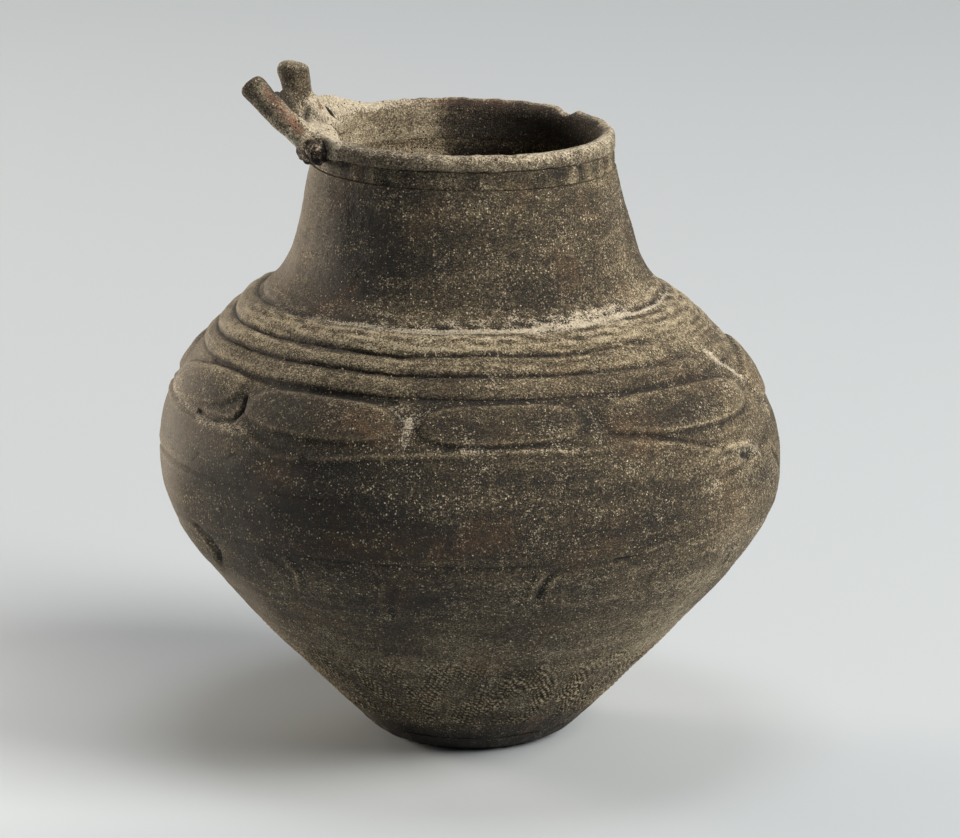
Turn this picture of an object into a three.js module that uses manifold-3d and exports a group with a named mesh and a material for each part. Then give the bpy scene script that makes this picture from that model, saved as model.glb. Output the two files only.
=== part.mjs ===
// Hand-built clay jar: a foot disc, coiled courses luted one on another, a ribbed shoulder,
// a row of pressed panels, an everted lip and a two-pronged lug on the rim.
// Millimetres, +Z up, origin at the centre of the foot. Angles are in degrees round the
// axis, 0 at the front (-Y), and grow towards +X.

import * as THREE from 'three';
import Module from 'manifold-3d';

// Outline of the wall
const footRadius = 35;
const heelRadius = 50.4;
const heelHeight = 9;
const heelRun = 8.3;
const heelRise = 1.1;
const bellyRadius = 139.5;
const neckFootRadius = 91.5;
const neckTopRadius = 67.8;
const heelAngle = 44.4;
const shoulderAngle = 24.3;
const neckFootAngle = 48.6;
const neckTopAngle = 11.2;

// Fullness of each curve at its two ends, as a share of its chord
const heelToBellyFullness = [0.87, 0.12];
const shoulderFullness = [0.395, 0.12];
const neckFullness = [0.133, 0.94];

// Clay
const wallThickness = 7.5;
const floorThickness = 10;
const floorRadius = 41;
const bevelDrop = 5;
const slipGap = 0.4;
const facetsAround = 67;

// The fired jar stands a little askew
const leanAtTop = 4.4;
const tiltAngle = 1;
const leanHeight = 280;

// Heights of the coiled courses
const footCourseHeight = 29;
const lowerCourseHeight = 34;
const upperCourseHeight = 38;
const bellyCourseHeight = 25;
const bellyTopCourseHeight = 25;
const panelCourseHeight = 20;
const ribbedCourseHeight = 24;
const neckCourseHeight = 29;
const neckRimCourseHeight = 27;
const widestBelowJoint = 4;

// Joints between the courses, measured up the outside
const footCourseTop = heelHeight + footCourseHeight;
const lowerCourseTop = footCourseTop + lowerCourseHeight;
const upperCourseTop = lowerCourseTop + upperCourseHeight;
const bellyJointHeight = upperCourseTop + bellyCourseHeight;
const panelFootHeight = bellyJointHeight + bellyTopCourseHeight;
const panelTopHeight = panelFootHeight + panelCourseHeight;
const neckFootHeight = panelTopHeight + ribbedCourseHeight;
const neckJointHeight = neckFootHeight + neckCourseHeight;
const neckTopHeight = neckJointHeight + neckRimCourseHeight;
const bellyHeight = bellyJointHeight - widestBelowJoint;

// Relief
const courseSwell = 0.5;
const ribCount = 3;
const ribHeight = 2.1;
const ribRoundness = 0.8;
const shoulderSeatDepth = 0.7;
const neckFillHeight = 8;
const panelRise = 1.9;
const padFlatness = 4;
const padEndFlatness = 6;
const panelBridges = [-88, -50, -12, 24.5, 72, 112, 152, 192, 232];
const lowPanelRise = 0.8;
const lowPanelHeight = 26;
const lowPanelBridges = [-79, -57, -35, -15, 12, 34, 58, 82, 106, 130, 154, 178, 202, 226, 252];

// Collar strip and lip
const collarHeight = 8;
const collarThickness = 2;
const collarGroove = 1.3;
const lipHeight = 9;
const lipOverhang = 1;
const lipWidth = 7.8;
const lipBevel = 1.8;
const lipChipDepth = 2.6;
const lipChipAngle = 133;
const lipChipSpan = 7;
const lipSmearDepth = 2.4;
const lipSmearAngle = -44;
const lipSmearSpan = 30;
const lipOuterRound = 3;
const lipInnerRound = 3;
const lipArris = 0.5;
const lipCrown = 0.6;
const lipFlareRise = 5;
const lipFlareAngle = -112;
const lipFlareSpan = 30;

// Rim lug: angles round the rim, reaches out from the lip's face and rises above its foot
const lugSeatReach = 2.6;
const lugSeatRise = 4;
const lugGap = 0.3;
const frontRootAngle = -66;
const frontElbowReach = 10;
const frontElbowRise = 6;
const frontTipAngle = -80;
const frontProngReach = 28.7;
const frontProngRise = 28.5;
const frontRootRadius = 6.4;
const frontProngRadius = 5.3;
const backRootAngle = -104;
const backWaistAngle = -99;
const backWaistReach = 3.8;
const backWaistRise = 14;
const backTipAngle = -97;
const backProngReach = 6.4;
const backProngRise = 34.3;
const backRootRadius = 7.6;
const backProngRadius = 6.7;
const tipBluntness = 2.6;
const leastClosing = 0.02;
const webEdgeReach = 14;
const webEdgeRise = 20;
const webElbowReach = 6;
const webElbowRise = 8;
const webHalfWidth = 16;
const webEdgeHalfWidth = 10.5;
const webThickness = 8;
const webDish = 3.5;
const stubAngle = -62;
const stubReach = 6.2;
const stubHalfWidth = 7.8;
const stubThickness = 10;
const stubFaceRise = 0.9;

const wasm = await Module();
wasm.setup();

const group = new THREE.Group();

// The wall's outside line: three curves from the heel to the belly, the belly to the foot of
// the neck, and up the neck
function wallCurve(start, startAngle, end, endAngle, [startFullness, endFullness]) {
  const chord = start.distanceTo(end);
  const leave = directionAt(startAngle).multiplyScalar(chord * startFullness);
  const arrive = directionAt(endAngle).multiplyScalar(chord * endFullness);
  return new THREE.CubicBezierCurve(start, start.clone().add(leave), end.clone().sub(arrive), end);
}

function directionAt(angle) {
  const turn = THREE.MathUtils.degToRad(angle);
  return new THREE.Vector2(Math.cos(turn), Math.sin(turn));
}

const heel = new THREE.Vector2(heelRadius, heelHeight);
const belly = new THREE.Vector2(bellyRadius, bellyHeight);
const neckFoot = new THREE.Vector2(neckFootRadius, neckFootHeight);
const neckTop = new THREE.Vector2(neckTopRadius, neckTopHeight);
const outline = new THREE.CurvePath();
outline.add(wallCurve(heel, heelAngle, belly, 90, heelToBellyFullness));
outline.add(wallCurve(belly, 90, neckFoot, 180 - shoulderAngle, shoulderFullness));
outline.add(wallCurve(neckFoot, 180 - neckFootAngle, neckTop, 90 + neckTopAngle, neckFullness));
const outlinePoints = outline.curves.flatMap((curve) => curve.getPoints(60));

// A point of the outside line at a height, with the outward direction there. Below the heel
// and above the neck the line runs straight on.
function wallAt(height) {
  const last = outlinePoints.length - 1;
  let index = outlinePoints.findIndex((point) => point.y > height);
  if (index < 0) index = last;
  if (index < 1) index = 1;
  while (outlinePoints[index].y - outlinePoints[index - 1].y < 1e-6) index -= 1;
  const below = outlinePoints[index - 1];
  const above = outlinePoints[index];
  const share = (height - below.y) / (above.y - below.y);
  const radius = THREE.MathUtils.lerp(below.x, above.x, share);
  const outward = new THREE.Vector2(above.y - below.y, below.x - above.x).normalize();
  return { point: new THREE.Vector2(radius, height), outward };
}

function offsetWall(height, distance) {
  const { point, outward } = wallAt(height);
  return point.addScaledVector(outward, distance);
}

// Distance round the axis, -180 to 180
function turnBetween(angle, other) {
  return THREE.MathUtils.euclideanModulo(angle - other + 180, 360) - 180;
}

// A smooth hump, 1 at its centre and 0 from halfWidth on
function hump(distance, halfWidth) {
  const share = Math.min(1, Math.abs(distance) / halfWidth);
  return (1 - share * share) ** 2;
}

// Three rounded ribs ring the shoulder between the panels and the foot of the neck
function ribRelief(angle, height) {
  const ribPitch = ribbedCourseHeight / ribCount;
  const phase = (height - panelTopHeight) / ribPitch;
  return ribHeight * Math.abs(Math.sin(Math.PI * phase)) ** ribRoundness - shoulderSeatDepth;
}

// A row of oval pads: each swells between two bridges and sinks to its seat at the edges
function padRelief(angle, height, bridges, low, high, rise) {
  const across = (2 * (height - low)) / (high - low) - 1;
  if (Math.abs(across) >= 1) return 0;
  const starts = bridges.map((bridge) => THREE.MathUtils.euclideanModulo(angle - bridge, 360));
  const sinceBridge = Math.min(...starts);
  const start = starts.indexOf(sinceBridge);
  const end = bridges[(start + 1) % bridges.length];
  const span = THREE.MathUtils.euclideanModulo(end - bridges[start], 360);
  const along = (2 * sinceBridge) / span - 1;
  return rise * (1 - across ** padFlatness) * (1 - along ** padEndFlatness);
}

function panelRelief(angle, height) {
  const pad = padRelief(angle, height, panelBridges, panelFootHeight, panelTopHeight, panelRise);
  return pad - shoulderSeatDepth * (height - panelFootHeight) / panelCourseHeight;
}

function lowPanelRelief(angle, height) {
  const foot = upperCourseTop - lowPanelHeight;
  return padRelief(angle, height, lowPanelBridges, foot, upperCourseTop, lowPanelRise);
}

// Ring solid skinned through one closed section for each angle. A section runs up the outside
// and back down the inside.
function ringFromSections(sectionAt) {
  const positions = [];
  const indices = [];
  let count = 0;
  for (let step = 0; step < facetsAround; step += 1) {
    const angle = (360 * step) / facetsAround;
    const section = sectionAt(angle);
    count = section.length;
    const turn = THREE.MathUtils.degToRad(angle);
    for (const { x: radius, y: height } of section) {
      positions.push(radius * Math.sin(turn), -radius * Math.cos(turn), height);
    }
  }
  for (let step = 0; step < facetsAround; step += 1) {
    const here = step * count;
    const next = ((step + 1) % facetsAround) * count;
    for (let row = 0; row < count; row += 1) {
      const up = (row + 1) % count;
      indices.push(here + row, next + row, next + up);
      indices.push(here + row, next + up, here + up);
    }
  }
  return geometryFrom(positions, indices);
}

function geometryFrom(positions, indices) {
  const geometry = new THREE.BufferGeometry();
  geometry.setAttribute('position', new THREE.Float32BufferAttribute(positions, 3));
  geometry.setIndex(indices);
  return geometry;
}

// The askew stand: a shear towards -X and a slight fall towards +X, both nothing at the foot
function settle(geometry) {
  const position = geometry.getAttribute('position');
  const fall = Math.tan(THREE.MathUtils.degToRad(tiltAngle));
  for (let i = 0; i < position.count; i += 1) {
    const x = position.getX(i);
    const z = position.getZ(i);
    position.setX(i, x - leanAtTop * (z / leanHeight) ** 2);
    position.setZ(i, z - fall * x * (z / leanHeight));
  }
  return geometry;
}

function addPiece(name, geometry, color, roughness) {
  const settled = settle(geometry);
  settled.computeVertexNormals();
  const material = new THREE.MeshStandardMaterial({ color, roughness, metalness: 0 });
  const mesh = new THREE.Mesh(settled, material);
  mesh.name = name;
  group.add(mesh);
}

// Foot disc: the flat that the jar stands on, with a rounded heel, and its top is the floor
const footEdge = new THREE.Vector2(footRadius, 0);
const heelBend = new THREE.Vector2(footRadius + heelRun, heelRise);
const heelCurve = new THREE.QuadraticBezierCurve(footEdge, heelBend, heel);
const discOutline = [
  new THREE.Vector2(0, 0),
  ...heelCurve.getPoints(3),
  new THREE.Vector2(floorRadius, floorThickness),
  new THREE.Vector2(0, floorThickness),
];
const disc = new THREE.LatheGeometry(discOutline, facetsAround);
disc.rotateX(Math.PI / 2);
addPiece('foot_disc', disc, '#3a342a', 0.9);

// Coiled courses, from the foot up. Each is bevelled to slope down and in where it is luted
// on the one below, with a film of slip between them.
const courses = [
  {
    name: 'foot_course', color: '#443e31', low: heelHeight, high: footCourseTop,
    outside: 2, inside: 1,
  },
  {
    name: 'lower_wall_course', color: '#423c30', low: footCourseTop, high: lowerCourseTop,
    outside: 3, inside: 1,
  },
  {
    name: 'upper_wall_course', color: '#403a2f', low: lowerCourseTop, high: upperCourseTop,
    outside: 6, inside: 2, relief: lowPanelRelief,
  },
  {
    name: 'belly_course', color: '#4a4335', low: upperCourseTop, high: bellyJointHeight,
    outside: 3, inside: 2,
  },
  {
    name: 'belly_top_course', color: '#4f4738', low: bellyJointHeight, high: panelFootHeight,
    outside: 3, inside: 2,
  },
  {
    name: 'panel_course', color: '#544b3c', low: panelFootHeight, high: panelTopHeight,
    outside: 6, inside: 2, relief: panelRelief,
  },
  {
    name: 'ribbed_course', color: '#6f6554', low: panelTopHeight, high: neckFootHeight,
    outside: 4 * ribCount, inside: 2, relief: ribRelief,
  },
  {
    name: 'neck_course', color: '#574d3f', low: neckFootHeight, high: neckJointHeight,
    outside: 5, inside: 3, relief: neckRelief,
  },
];

// The neck starts in the groove above the top rib and fills out over its first few millimetres
function neckRelief(angle, height) {
  return -shoulderSeatDepth * hump(height - neckFootHeight, neckFillHeight);
}

function courseSection(course, angle) {
  const low = course.low + slipGap / 2;
  const high = course.high - slipGap / 2;
  const points = [];
  for (let row = 0; row <= course.outside; row += 1) {
    const height = THREE.MathUtils.lerp(low, high, row / course.outside);
    const swell = course.relief ? 0 : courseSwell * Math.sin((Math.PI * row) / course.outside);
    const relief = course.relief ? course.relief(angle, height) : 0;
    points.push(offsetWall(height, swell + relief));
  }
  for (let row = course.inside; row >= 0; row -= 1) {
    const height = THREE.MathUtils.lerp(low, high, row / course.inside) - bevelDrop;
    points.push(offsetWall(height, -wallThickness));
  }
  return points;
}

// The first course stands on the rim of the disc instead of on a bevel
function footSection(course, angle) {
  const points = courseSection(course, angle);
  points[points.length - 1] = new THREE.Vector2(floorRadius, floorThickness + slipGap);
  points[0] = new THREE.Vector2(heelRadius, heelHeight + slipGap);
  return points;
}

courses.forEach((course, index) => {
  const sectionFor = index === 0 ? footSection : courseSection;
  const ring = ringFromSections((angle) => sectionFor(course, angle));
  addPiece(course.name, ring, course.color, 0.85);
});

// Neck rim: the last course, stepped in at its top to seat the collar strip, and bevelled for
// the lip
const stepRadius = neckTopRadius - lipOverhang - collarThickness;
const stepTop = neckTopHeight + collarHeight;
const lipInnerRadius = neckTopRadius - lipWidth;
const neckRimInner = offsetWall(neckTopHeight, -wallThickness).x;

function neckRimSection() {
  const low = neckJointHeight + slipGap / 2;
  const foot = neckTopHeight - slipGap / 2;
  const middle = (low + foot) / 2;
  return [
    offsetWall(low, 0),
    offsetWall(middle, courseSwell),
    offsetWall(foot - collarGroove, 0),
    offsetWall(foot, -collarGroove),
    new THREE.Vector2(stepRadius, foot),
    new THREE.Vector2(stepRadius, stepTop - collarGroove),
    new THREE.Vector2(neckRimInner, stepTop - collarGroove - bevelDrop),
    offsetWall(middle - bevelDrop, -wallThickness),
    offsetWall(low - bevelDrop, -wallThickness),
  ];
}
addPiece('neck_rim_course', ringFromSections(neckRimSection), '#4c4336', 0.85);

// Collar: a strip of clay pressed into the step, rounded on its face
function collarSection() {
  const back = stepRadius + lugGap;
  const face = back + collarThickness;
  const bottom = neckTopHeight + slipGap / 2;
  return [
    new THREE.Vector2(back, bottom),
    new THREE.Vector2(face - collarGroove / 2, bottom),
    new THREE.Vector2(face, bottom + collarGroove),
    new THREE.Vector2(face, stepTop - collarGroove),
    new THREE.Vector2(face - collarGroove / 2, stepTop),
    new THREE.Vector2(back, stepTop),
  ];
}
addPiece('collar_strip', ringFromSections(collarSection), '#5d5242', 0.85);

// Lip: a coil seated on the neck's bevel and over the collar. Its edge is higher at the back,
// flares up towards the lug, is chipped at the back right and smeared thick beside the stub.
function lipSection(angle, grow = 0) {
  const front = Math.cos(THREE.MathUtils.degToRad(angle));
  const chip = lipChipDepth * hump(turnBetween(angle, lipChipAngle), lipChipSpan);
  const flare = lipFlareRise * hump(turnBetween(angle, lipFlareAngle), lipFlareSpan);
  const smear = lipSmearDepth * hump(turnBetween(angle, lipSmearAngle), lipSmearSpan);
  const foot = stepTop + slipGap;
  const top = stepTop + lipHeight;
  const outer = neckTopRadius;
  const edgeTop = top - lipBevel * front - chip + flare;
  const crown = THREE.MathUtils.lerp(top, edgeTop, lipCrown);
  const crownRadius = THREE.MathUtils.lerp(outer, lipInnerRadius, lipCrown);
  const bevelTop = stepTop - collarGroove + slipGap;
  const bevelFall = (bevelDrop * (stepRadius - lipInnerRadius)) / (stepRadius - neckRimInner);
  const smearedFace = outer + smear;
  const section = [
    new THREE.Vector2(lipInnerRadius, bevelTop - bevelFall),
    new THREE.Vector2(stepRadius, bevelTop),
    new THREE.Vector2(stepRadius, foot),
    new THREE.Vector2(smearedFace - lipOverhang, foot),
    new THREE.Vector2(smearedFace, foot + lipOverhang),
    new THREE.Vector2(smearedFace, edgeTop - lipOuterRound),
    new THREE.Vector2(outer - lipOuterRound, edgeTop - lipArris),
    new THREE.Vector2(crownRadius, crown - lipArris),
    new THREE.Vector2(lipInnerRadius, top - lipInnerRound),
  ];
  return grow ? grownSection(section, grow) : section;
}

// A closed section with every point moved out along the mean of its two edges' directions
function grownSection(section, distance) {
  return section.map((point, index) => {
    const before = section[(index + section.length - 1) % section.length];
    const after = section[(index + 1) % section.length];
    const inEdge = point.clone().sub(before).normalize();
    const outEdge = after.clone().sub(point).normalize();
    const along = inEdge.add(outEdge).normalize();
    return point.clone().add(new THREE.Vector2(along.y, -along.x).multiplyScalar(distance));
  });
}
addPiece('lip_coil', ringFromSections((angle) => lipSection(angle)), '#8f7f69', 0.9);

// Rolls of clay: oval sections along a curve, cut square at the root and rounded or cut at the
// end. Each section lies across the roll with its width level; a dish lifts its two edges.
function rollGeometry({ path, radii, flatten = 1, dish = 0, rings = 9, grow = 0, tip = true }) {
  const sides = 14;
  const curve = new THREE.CatmullRomCurve3(path, false, 'centripetal');
  const spread = new THREE.CatmullRomCurve3(radii.map((radius, i) => new THREE.Vector3(i, radius, 0)));
  const tipShare = radii[radii.length - 1] / curve.getLength();
  const up = new THREE.Vector3(0, 0, 1);
  const positions = [];
  for (let ring = 0; ring <= rings; ring += 1) {
    const share = tip ? Math.sin((Math.PI / 2) * (ring / rings)) : ring / rings;
    const centre = curve.getPointAt(share);
    const ahead = curve.getTangentAt(share);
    const across = up.clone().cross(ahead).normalize();
    const lift = ahead.clone().cross(across);
    const intoTip = tip ? Math.max(0, (share - 1 + tipShare) / tipShare) : 0;
    const closing = Math.max(leastClosing, 1 - intoTip ** tipBluntness) ** (1 / tipBluntness);
    const radius = spread.getPoint(share).y * closing;
    for (let side = 0; side < sides; side += 1) {
      const turn = (2 * Math.PI * side) / sides;
      const rise = (radius * flatten + grow) * Math.sin(turn) + dish * Math.cos(turn) ** 2;
      const point = centre.clone().addScaledVector(across, (radius + grow) * Math.cos(turn));
      positions.push(...point.addScaledVector(lift, rise).toArray());
    }
  }
  return closedLoft(positions, rings, sides, curve);
}

function closedLoft(positions, rings, sides, curve) {
  const indices = [];
  for (let ring = 0; ring < rings; ring += 1) {
    for (let side = 0; side < sides; side += 1) {
      const here = ring * sides + side;
      const beside = ring * sides + ((side + 1) % sides);
      indices.push(here, beside, beside + sides, here, beside + sides, here + sides);
    }
  }
  const startCentre = positions.length / 3;
  positions.push(...curve.getPointAt(0).toArray(), ...curve.getPointAt(1).toArray());
  for (let side = 0; side < sides; side += 1) {
    const beside = (side + 1) % sides;
    indices.push(startCentre, beside, side);
    indices.push(startCentre + 1, rings * sides + side, rings * sides + beside);
  }
  return geometryFrom(positions, indices);
}

// Booleans on closed meshes, before the piece is set askew
function solidFrom(geometry) {
  const vertProperties = new Float32Array(geometry.getAttribute('position').array);
  const triVerts = new Uint32Array(geometry.getIndex().array);
  return new wasm.Manifold(new wasm.Mesh({ numProp: 3, vertProperties, triVerts }));
}

function geometryOf(solid) {
  const { vertProperties, triVerts } = solid.getMesh();
  return geometryFrom(Array.from(vertProperties), Array.from(triVerts));
}

function largestOf(solid) {
  const bodies = solid.decompose();
  return bodies.reduce((best, body) => (body.volume() > best.volume() ? body : best));
}

// Rim lug. Every roll starts in the lip's thickness and is cut back to a film of slip from
// the lip, the collar and the rolls laid before it.
const lipFoot = stepTop + slipGap;
const lipBody = ringFromSections((angle) => lipSection(angle, lugGap));
const collarBody = ringFromSections(() => grownSection(collarSection(), lugGap));
const neckRimBody = ringFromSections(() => grownSection(neckRimSection(), lugGap));
const rimKeepOut = solidFrom(lipBody).add(solidFrom(collarBody)).add(solidFrom(neckRimBody));

function rimPoint(angle, reach, rise) {
  const turn = THREE.MathUtils.degToRad(angle);
  const radius = neckTopRadius + reach;
  return new THREE.Vector3(radius * Math.sin(turn), -radius * Math.cos(turn), lipFoot + rise);
}

// Front prong: a roll that leaves the lip nearly level beside the stub and bends up
function frontProng(grow) {
  const root = rimPoint(frontRootAngle, -lugSeatReach, lugSeatRise);
  const elbow = rimPoint(frontRootAngle, frontElbowReach, frontElbowRise);
  const tip = rimPoint(frontTipAngle, frontProngReach, frontProngRise);
  const radii = [frontRootRadius, frontRootRadius, frontProngRadius];
  return rollGeometry({ path: [root, elbow, tip], radii, grow });
}

// Back prong: a thicker upright roll with a blunt end
function backProng(grow) {
  const root = rimPoint(backRootAngle, -lugSeatReach, lugSeatRise);
  const waist = rimPoint(backWaistAngle, backWaistReach, backWaistRise);
  const top = rimPoint(backTipAngle, backProngReach, backProngRise);
  const radii = [backRootRadius, backProngRadius, backProngRadius];
  return rollGeometry({ path: [root, waist, top], radii, grow });
}

// Web: the dished pad of clay between the prongs, the floor of their trough
function lugWeb(grow) {
  const rootAngle = (frontRootAngle + backRootAngle) / 2;
  const edgeAngle = (frontTipAngle + backTipAngle) / 2;
  const root = rimPoint(rootAngle, -lugSeatReach, lugSeatRise);
  const elbow = rimPoint(rootAngle, webElbowReach, webElbowRise);
  const edge = rimPoint(edgeAngle, webEdgeReach, webEdgeRise);
  const radii = [webHalfWidth, webHalfWidth, webEdgeHalfWidth];
  const flatten = webThickness / (2 * webHalfWidth);
  const path = [root, elbow, edge];
  return rollGeometry({ path, radii, flatten, dish: webDish, rings: 7, grow, tip: false });
}

// Stub: what is left of a third prong, broken off near its root
function lugStub() {
  const root = rimPoint(stubAngle, -lugSeatReach, stubThickness / 4);
  const face = rimPoint(stubAngle, stubReach, stubFaceRise);
  const middle = root.clone().lerp(face, 1 / 2);
  const radii = [stubHalfWidth, stubHalfWidth, stubHalfWidth];
  const flatten = stubThickness / (2 * stubHalfWidth);
  return rollGeometry({ path: [root, middle, face], radii, flatten, rings: 3, tip: false });
}

const frontSolid = largestOf(solidFrom(frontProng(0)).subtract(rimKeepOut));
const frontKeepOut = solidFrom(frontProng(lugGap));
const backSolid = largestOf(solidFrom(backProng(0)).subtract(rimKeepOut).subtract(frontKeepOut));
const prongKeepOut = rimKeepOut.add(frontKeepOut).add(solidFrom(backProng(lugGap)));
const webSolid = largestOf(solidFrom(lugWeb(0)).subtract(prongKeepOut));
const stubKeepOut = prongKeepOut.add(solidFrom(lugWeb(lugGap)));
const stubSolid = largestOf(solidFrom(lugStub()).subtract(stubKeepOut));
addPiece('lug_front_prong', geometryOf(frontSolid), '#6b5e4d', 0.85);
addPiece('lug_back_prong', geometryOf(backSolid), '#7a6f5f', 0.85);
addPiece('lug_web', geometryOf(webSolid), '#7b6353', 0.9);
addPiece('lug_broken_stub', geometryOf(stubSolid), '#4a3c30', 0.95);

export default group;
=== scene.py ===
import math
import bpy
import numpy as np
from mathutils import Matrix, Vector


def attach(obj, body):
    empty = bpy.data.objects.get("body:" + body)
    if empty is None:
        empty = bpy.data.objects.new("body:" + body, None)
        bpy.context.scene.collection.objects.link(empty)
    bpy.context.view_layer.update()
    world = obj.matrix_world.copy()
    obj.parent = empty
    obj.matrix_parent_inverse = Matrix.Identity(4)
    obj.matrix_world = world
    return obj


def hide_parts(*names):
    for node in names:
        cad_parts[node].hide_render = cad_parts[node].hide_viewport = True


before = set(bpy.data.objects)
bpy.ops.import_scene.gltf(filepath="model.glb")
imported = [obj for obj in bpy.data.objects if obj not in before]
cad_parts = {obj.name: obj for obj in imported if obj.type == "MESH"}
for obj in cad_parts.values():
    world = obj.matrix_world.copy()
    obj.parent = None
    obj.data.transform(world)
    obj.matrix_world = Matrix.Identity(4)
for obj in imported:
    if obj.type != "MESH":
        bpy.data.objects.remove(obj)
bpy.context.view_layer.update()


# Camera
# A long lens a little above the jar, looking slightly down on it.
mm = 0.001
camera_place = (3.6 * mm, -2200 * mm, 673 * mm)
camera_pitch = 13.54
lens_length = 189.2
sensor_width = 36
farthest_seen = 50

scene = bpy.context.scene
scene.view_settings.view_transform = "Standard"
camera = bpy.data.objects.new("studio_camera", bpy.data.cameras.new("studio_camera"))
camera.location = camera_place
camera.rotation_euler = (math.radians(90 - camera_pitch), 0, 0)
camera.data.lens = lens_length
camera.data.sensor_width = sensor_width
camera.data.clip_end = farthest_seen
scene.collection.objects.link(camera)
scene.camera = camera


# Lamps
# A big soft key lamp at the right front, a low one at the left back for the sheen of the left
# flank, one above, one that evens out the paper behind, and a small one that lifts the far end of
# the shadow. The room itself is dim and cool.
jar_middle = (0, 0, 0.14)
room_hex = "#e3e8ec"
room_strength = 0.09

# Each lamp's place, target and size in metres, power in watts, tint, and spread in degrees
lamps = {
    "key_lamp": ((3.45, -1.45, 2.72), jar_middle, 2.4, 308.0, "#fff9f0", 180),
    "left_lamp": ((-2.6, 1.6, 0.44), jar_middle, 1.1, 104.0, "#fff0dc", 180),
    "top_lamp": ((0.0, 0.15, 2.6), jar_middle, 1.0, 15.0, "#ffffff", 180),
    "back_lamp": ((0.15, 3.6, 2.6), (0, 3.0, 0), 3.0, 36.0, "#ffffff", 180),
    "shadow_lamp": ((-0.75, 0.45, 0.55), (-0.42, 0.07, 0), 0.16, 0.4, "#fff4e6", 36),
}


def linear_colour(hex_code):
    """An sRGB hex value as linear red, green, blue and alpha."""
    channels = [int(hex_code[i:i + 2], 16) / 255 for i in (1, 3, 5)]
    linear = [c / 12.92 if c <= 0.04045 else ((c + 0.055) / 1.055) ** 2.4 for c in channels]
    return (*linear, 1.0)


for lamp_name, (lamp_place, target, lamp_size, power, tint, spread) in lamps.items():
    light = bpy.data.lights.new(lamp_name, "AREA")
    light.shape = "SQUARE"
    light.size = lamp_size
    light.energy = power
    light.color = linear_colour(tint)[:3]
    light.spread = math.radians(spread)
    holder = bpy.data.objects.new(lamp_name, light)
    holder.location = lamp_place
    aim = Vector(target) - Vector(holder.location)
    holder.rotation_euler = aim.to_track_quat("-Z", "Y").to_euler()
    scene.collection.objects.link(holder)

room = bpy.data.worlds.new("studio_room")
room.use_nodes = True
room_light = room.node_tree.nodes["Background"]
room_light.inputs["Color"].default_value = linear_colour(room_hex)
room_light.inputs["Strength"].default_value = room_strength
scene.world = room


# Background paper
# One wide sheet of pale grey studio paper under the jar and far behind it, so that no edge shows.
# It is matt: it takes the shadow softly and has no sheen.
paper_hex = "#bdc4ca"
paper_roughness = 0.9
paper_size = 14.0

paper = bpy.data.materials.new("matt_background_paper")
paper.use_nodes = True
paper_shader = paper.node_tree.nodes["Principled BSDF"]
paper_shader.inputs["Base Color"].default_value = linear_colour(paper_hex)
paper_shader.inputs["Roughness"].default_value = paper_roughness

paper_mesh = bpy.data.meshes.new("studio_paper")
half = paper_size / 2
paper_corners = [(-half, -half, 0), (half, -half, 0), (half, half, 0), (-half, half, 0)]
paper_mesh.from_pydata(paper_corners, [], [(0, 1, 2, 3)])
paper_mesh.materials.append(paper)
studio_paper = bpy.data.objects.new("studio_paper", paper_mesh)
scene.collection.objects.link(studio_paper)


# Line of the wall
# The jar's outside line, in radius and height in mm, as three curves: heel to belly, belly to the
# foot of the neck, and on to the neck's top. The fired jar stands a little askew.
foot_radius = 35.0
heel_radius = 50.4
heel_height = 9.0
belly_radius = 139.5
belly_height = 131.0
neck_foot_radius = 91.5
neck_foot_height = 204.0
neck_top_radius = 67.8
neck_top_height = 260.0
wall_thickness = 7.5
bevel_drop = 5.0

# Slopes in degrees from level, and how full each curve is at its two ends
foot_slope = 44.4
shoulder_slope = 180 - 24.3
neck_foot_slope = 180 - 48.6
neck_lean = 11.2
lower_fullness = (0.87, 0.12)
shoulder_fullness = (0.395, 0.12)
neck_fullness = (0.133, 0.94)
heel_spread = 1.02
lip_taper = 0.2
lean_at_top = 4.4
tilt_angle = 1.0
lean_height = 280.0


def curve_points(start, start_slope, end, end_slope, start_fullness, end_fullness):
    """A curve of the wall's outside line, in radius and height."""
    start = np.array(start)
    end = np.array(end)
    chord = np.linalg.norm(end - start)
    leave = np.radians(start_slope)
    arrive = np.radians(end_slope)
    first = start + chord * start_fullness * np.array([np.cos(leave), np.sin(leave)])
    last = end - chord * end_fullness * np.array([np.cos(arrive), np.sin(arrive)])
    t = np.linspace(0, 1, 121)[:, None]
    near_start = (1 - t) ** 3 * start + 3 * (1 - t) ** 2 * t * first
    return near_start + 3 * (1 - t) * t ** 2 * last + t ** 3 * end


heel = (heel_radius, heel_height)
belly = (belly_radius, belly_height)
neck_foot = (neck_foot_radius, neck_foot_height)
neck_top = (neck_top_radius, neck_top_height)
wall_line = np.concatenate([
    curve_points(heel, foot_slope, belly, 90, *lower_fullness),
    curve_points(belly, 90, neck_foot, shoulder_slope, *shoulder_fullness)[1:],
    curve_points(neck_foot, neck_foot_slope, neck_top, 90 + neck_lean, *neck_fullness)[1:],
])
line_step = np.gradient(wall_line, axis=0)
line_out = np.stack([line_step[:, 1], -line_step[:, 0]], -1)
line_out /= np.linalg.norm(line_out, axis=1, keepdims=True)


def wall_at(height, distance):
    """Radius and height of points a distance out from the wall's line at a height."""
    low_run = np.minimum(height - heel_height, 0)
    high_run = np.maximum(height - neck_top_height, 0)
    held = np.clip(height, heel_height, neck_top_height)
    radius = np.interp(held, wall_line[:, 1], wall_line[:, 0])
    out_radius = np.interp(held, wall_line[:, 1], line_out[:, 0])
    out_height = np.interp(held, wall_line[:, 1], line_out[:, 1])
    radius = radius + low_run * heel_spread - high_run * lip_taper
    return radius + distance * out_radius, height + distance * out_height


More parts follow.
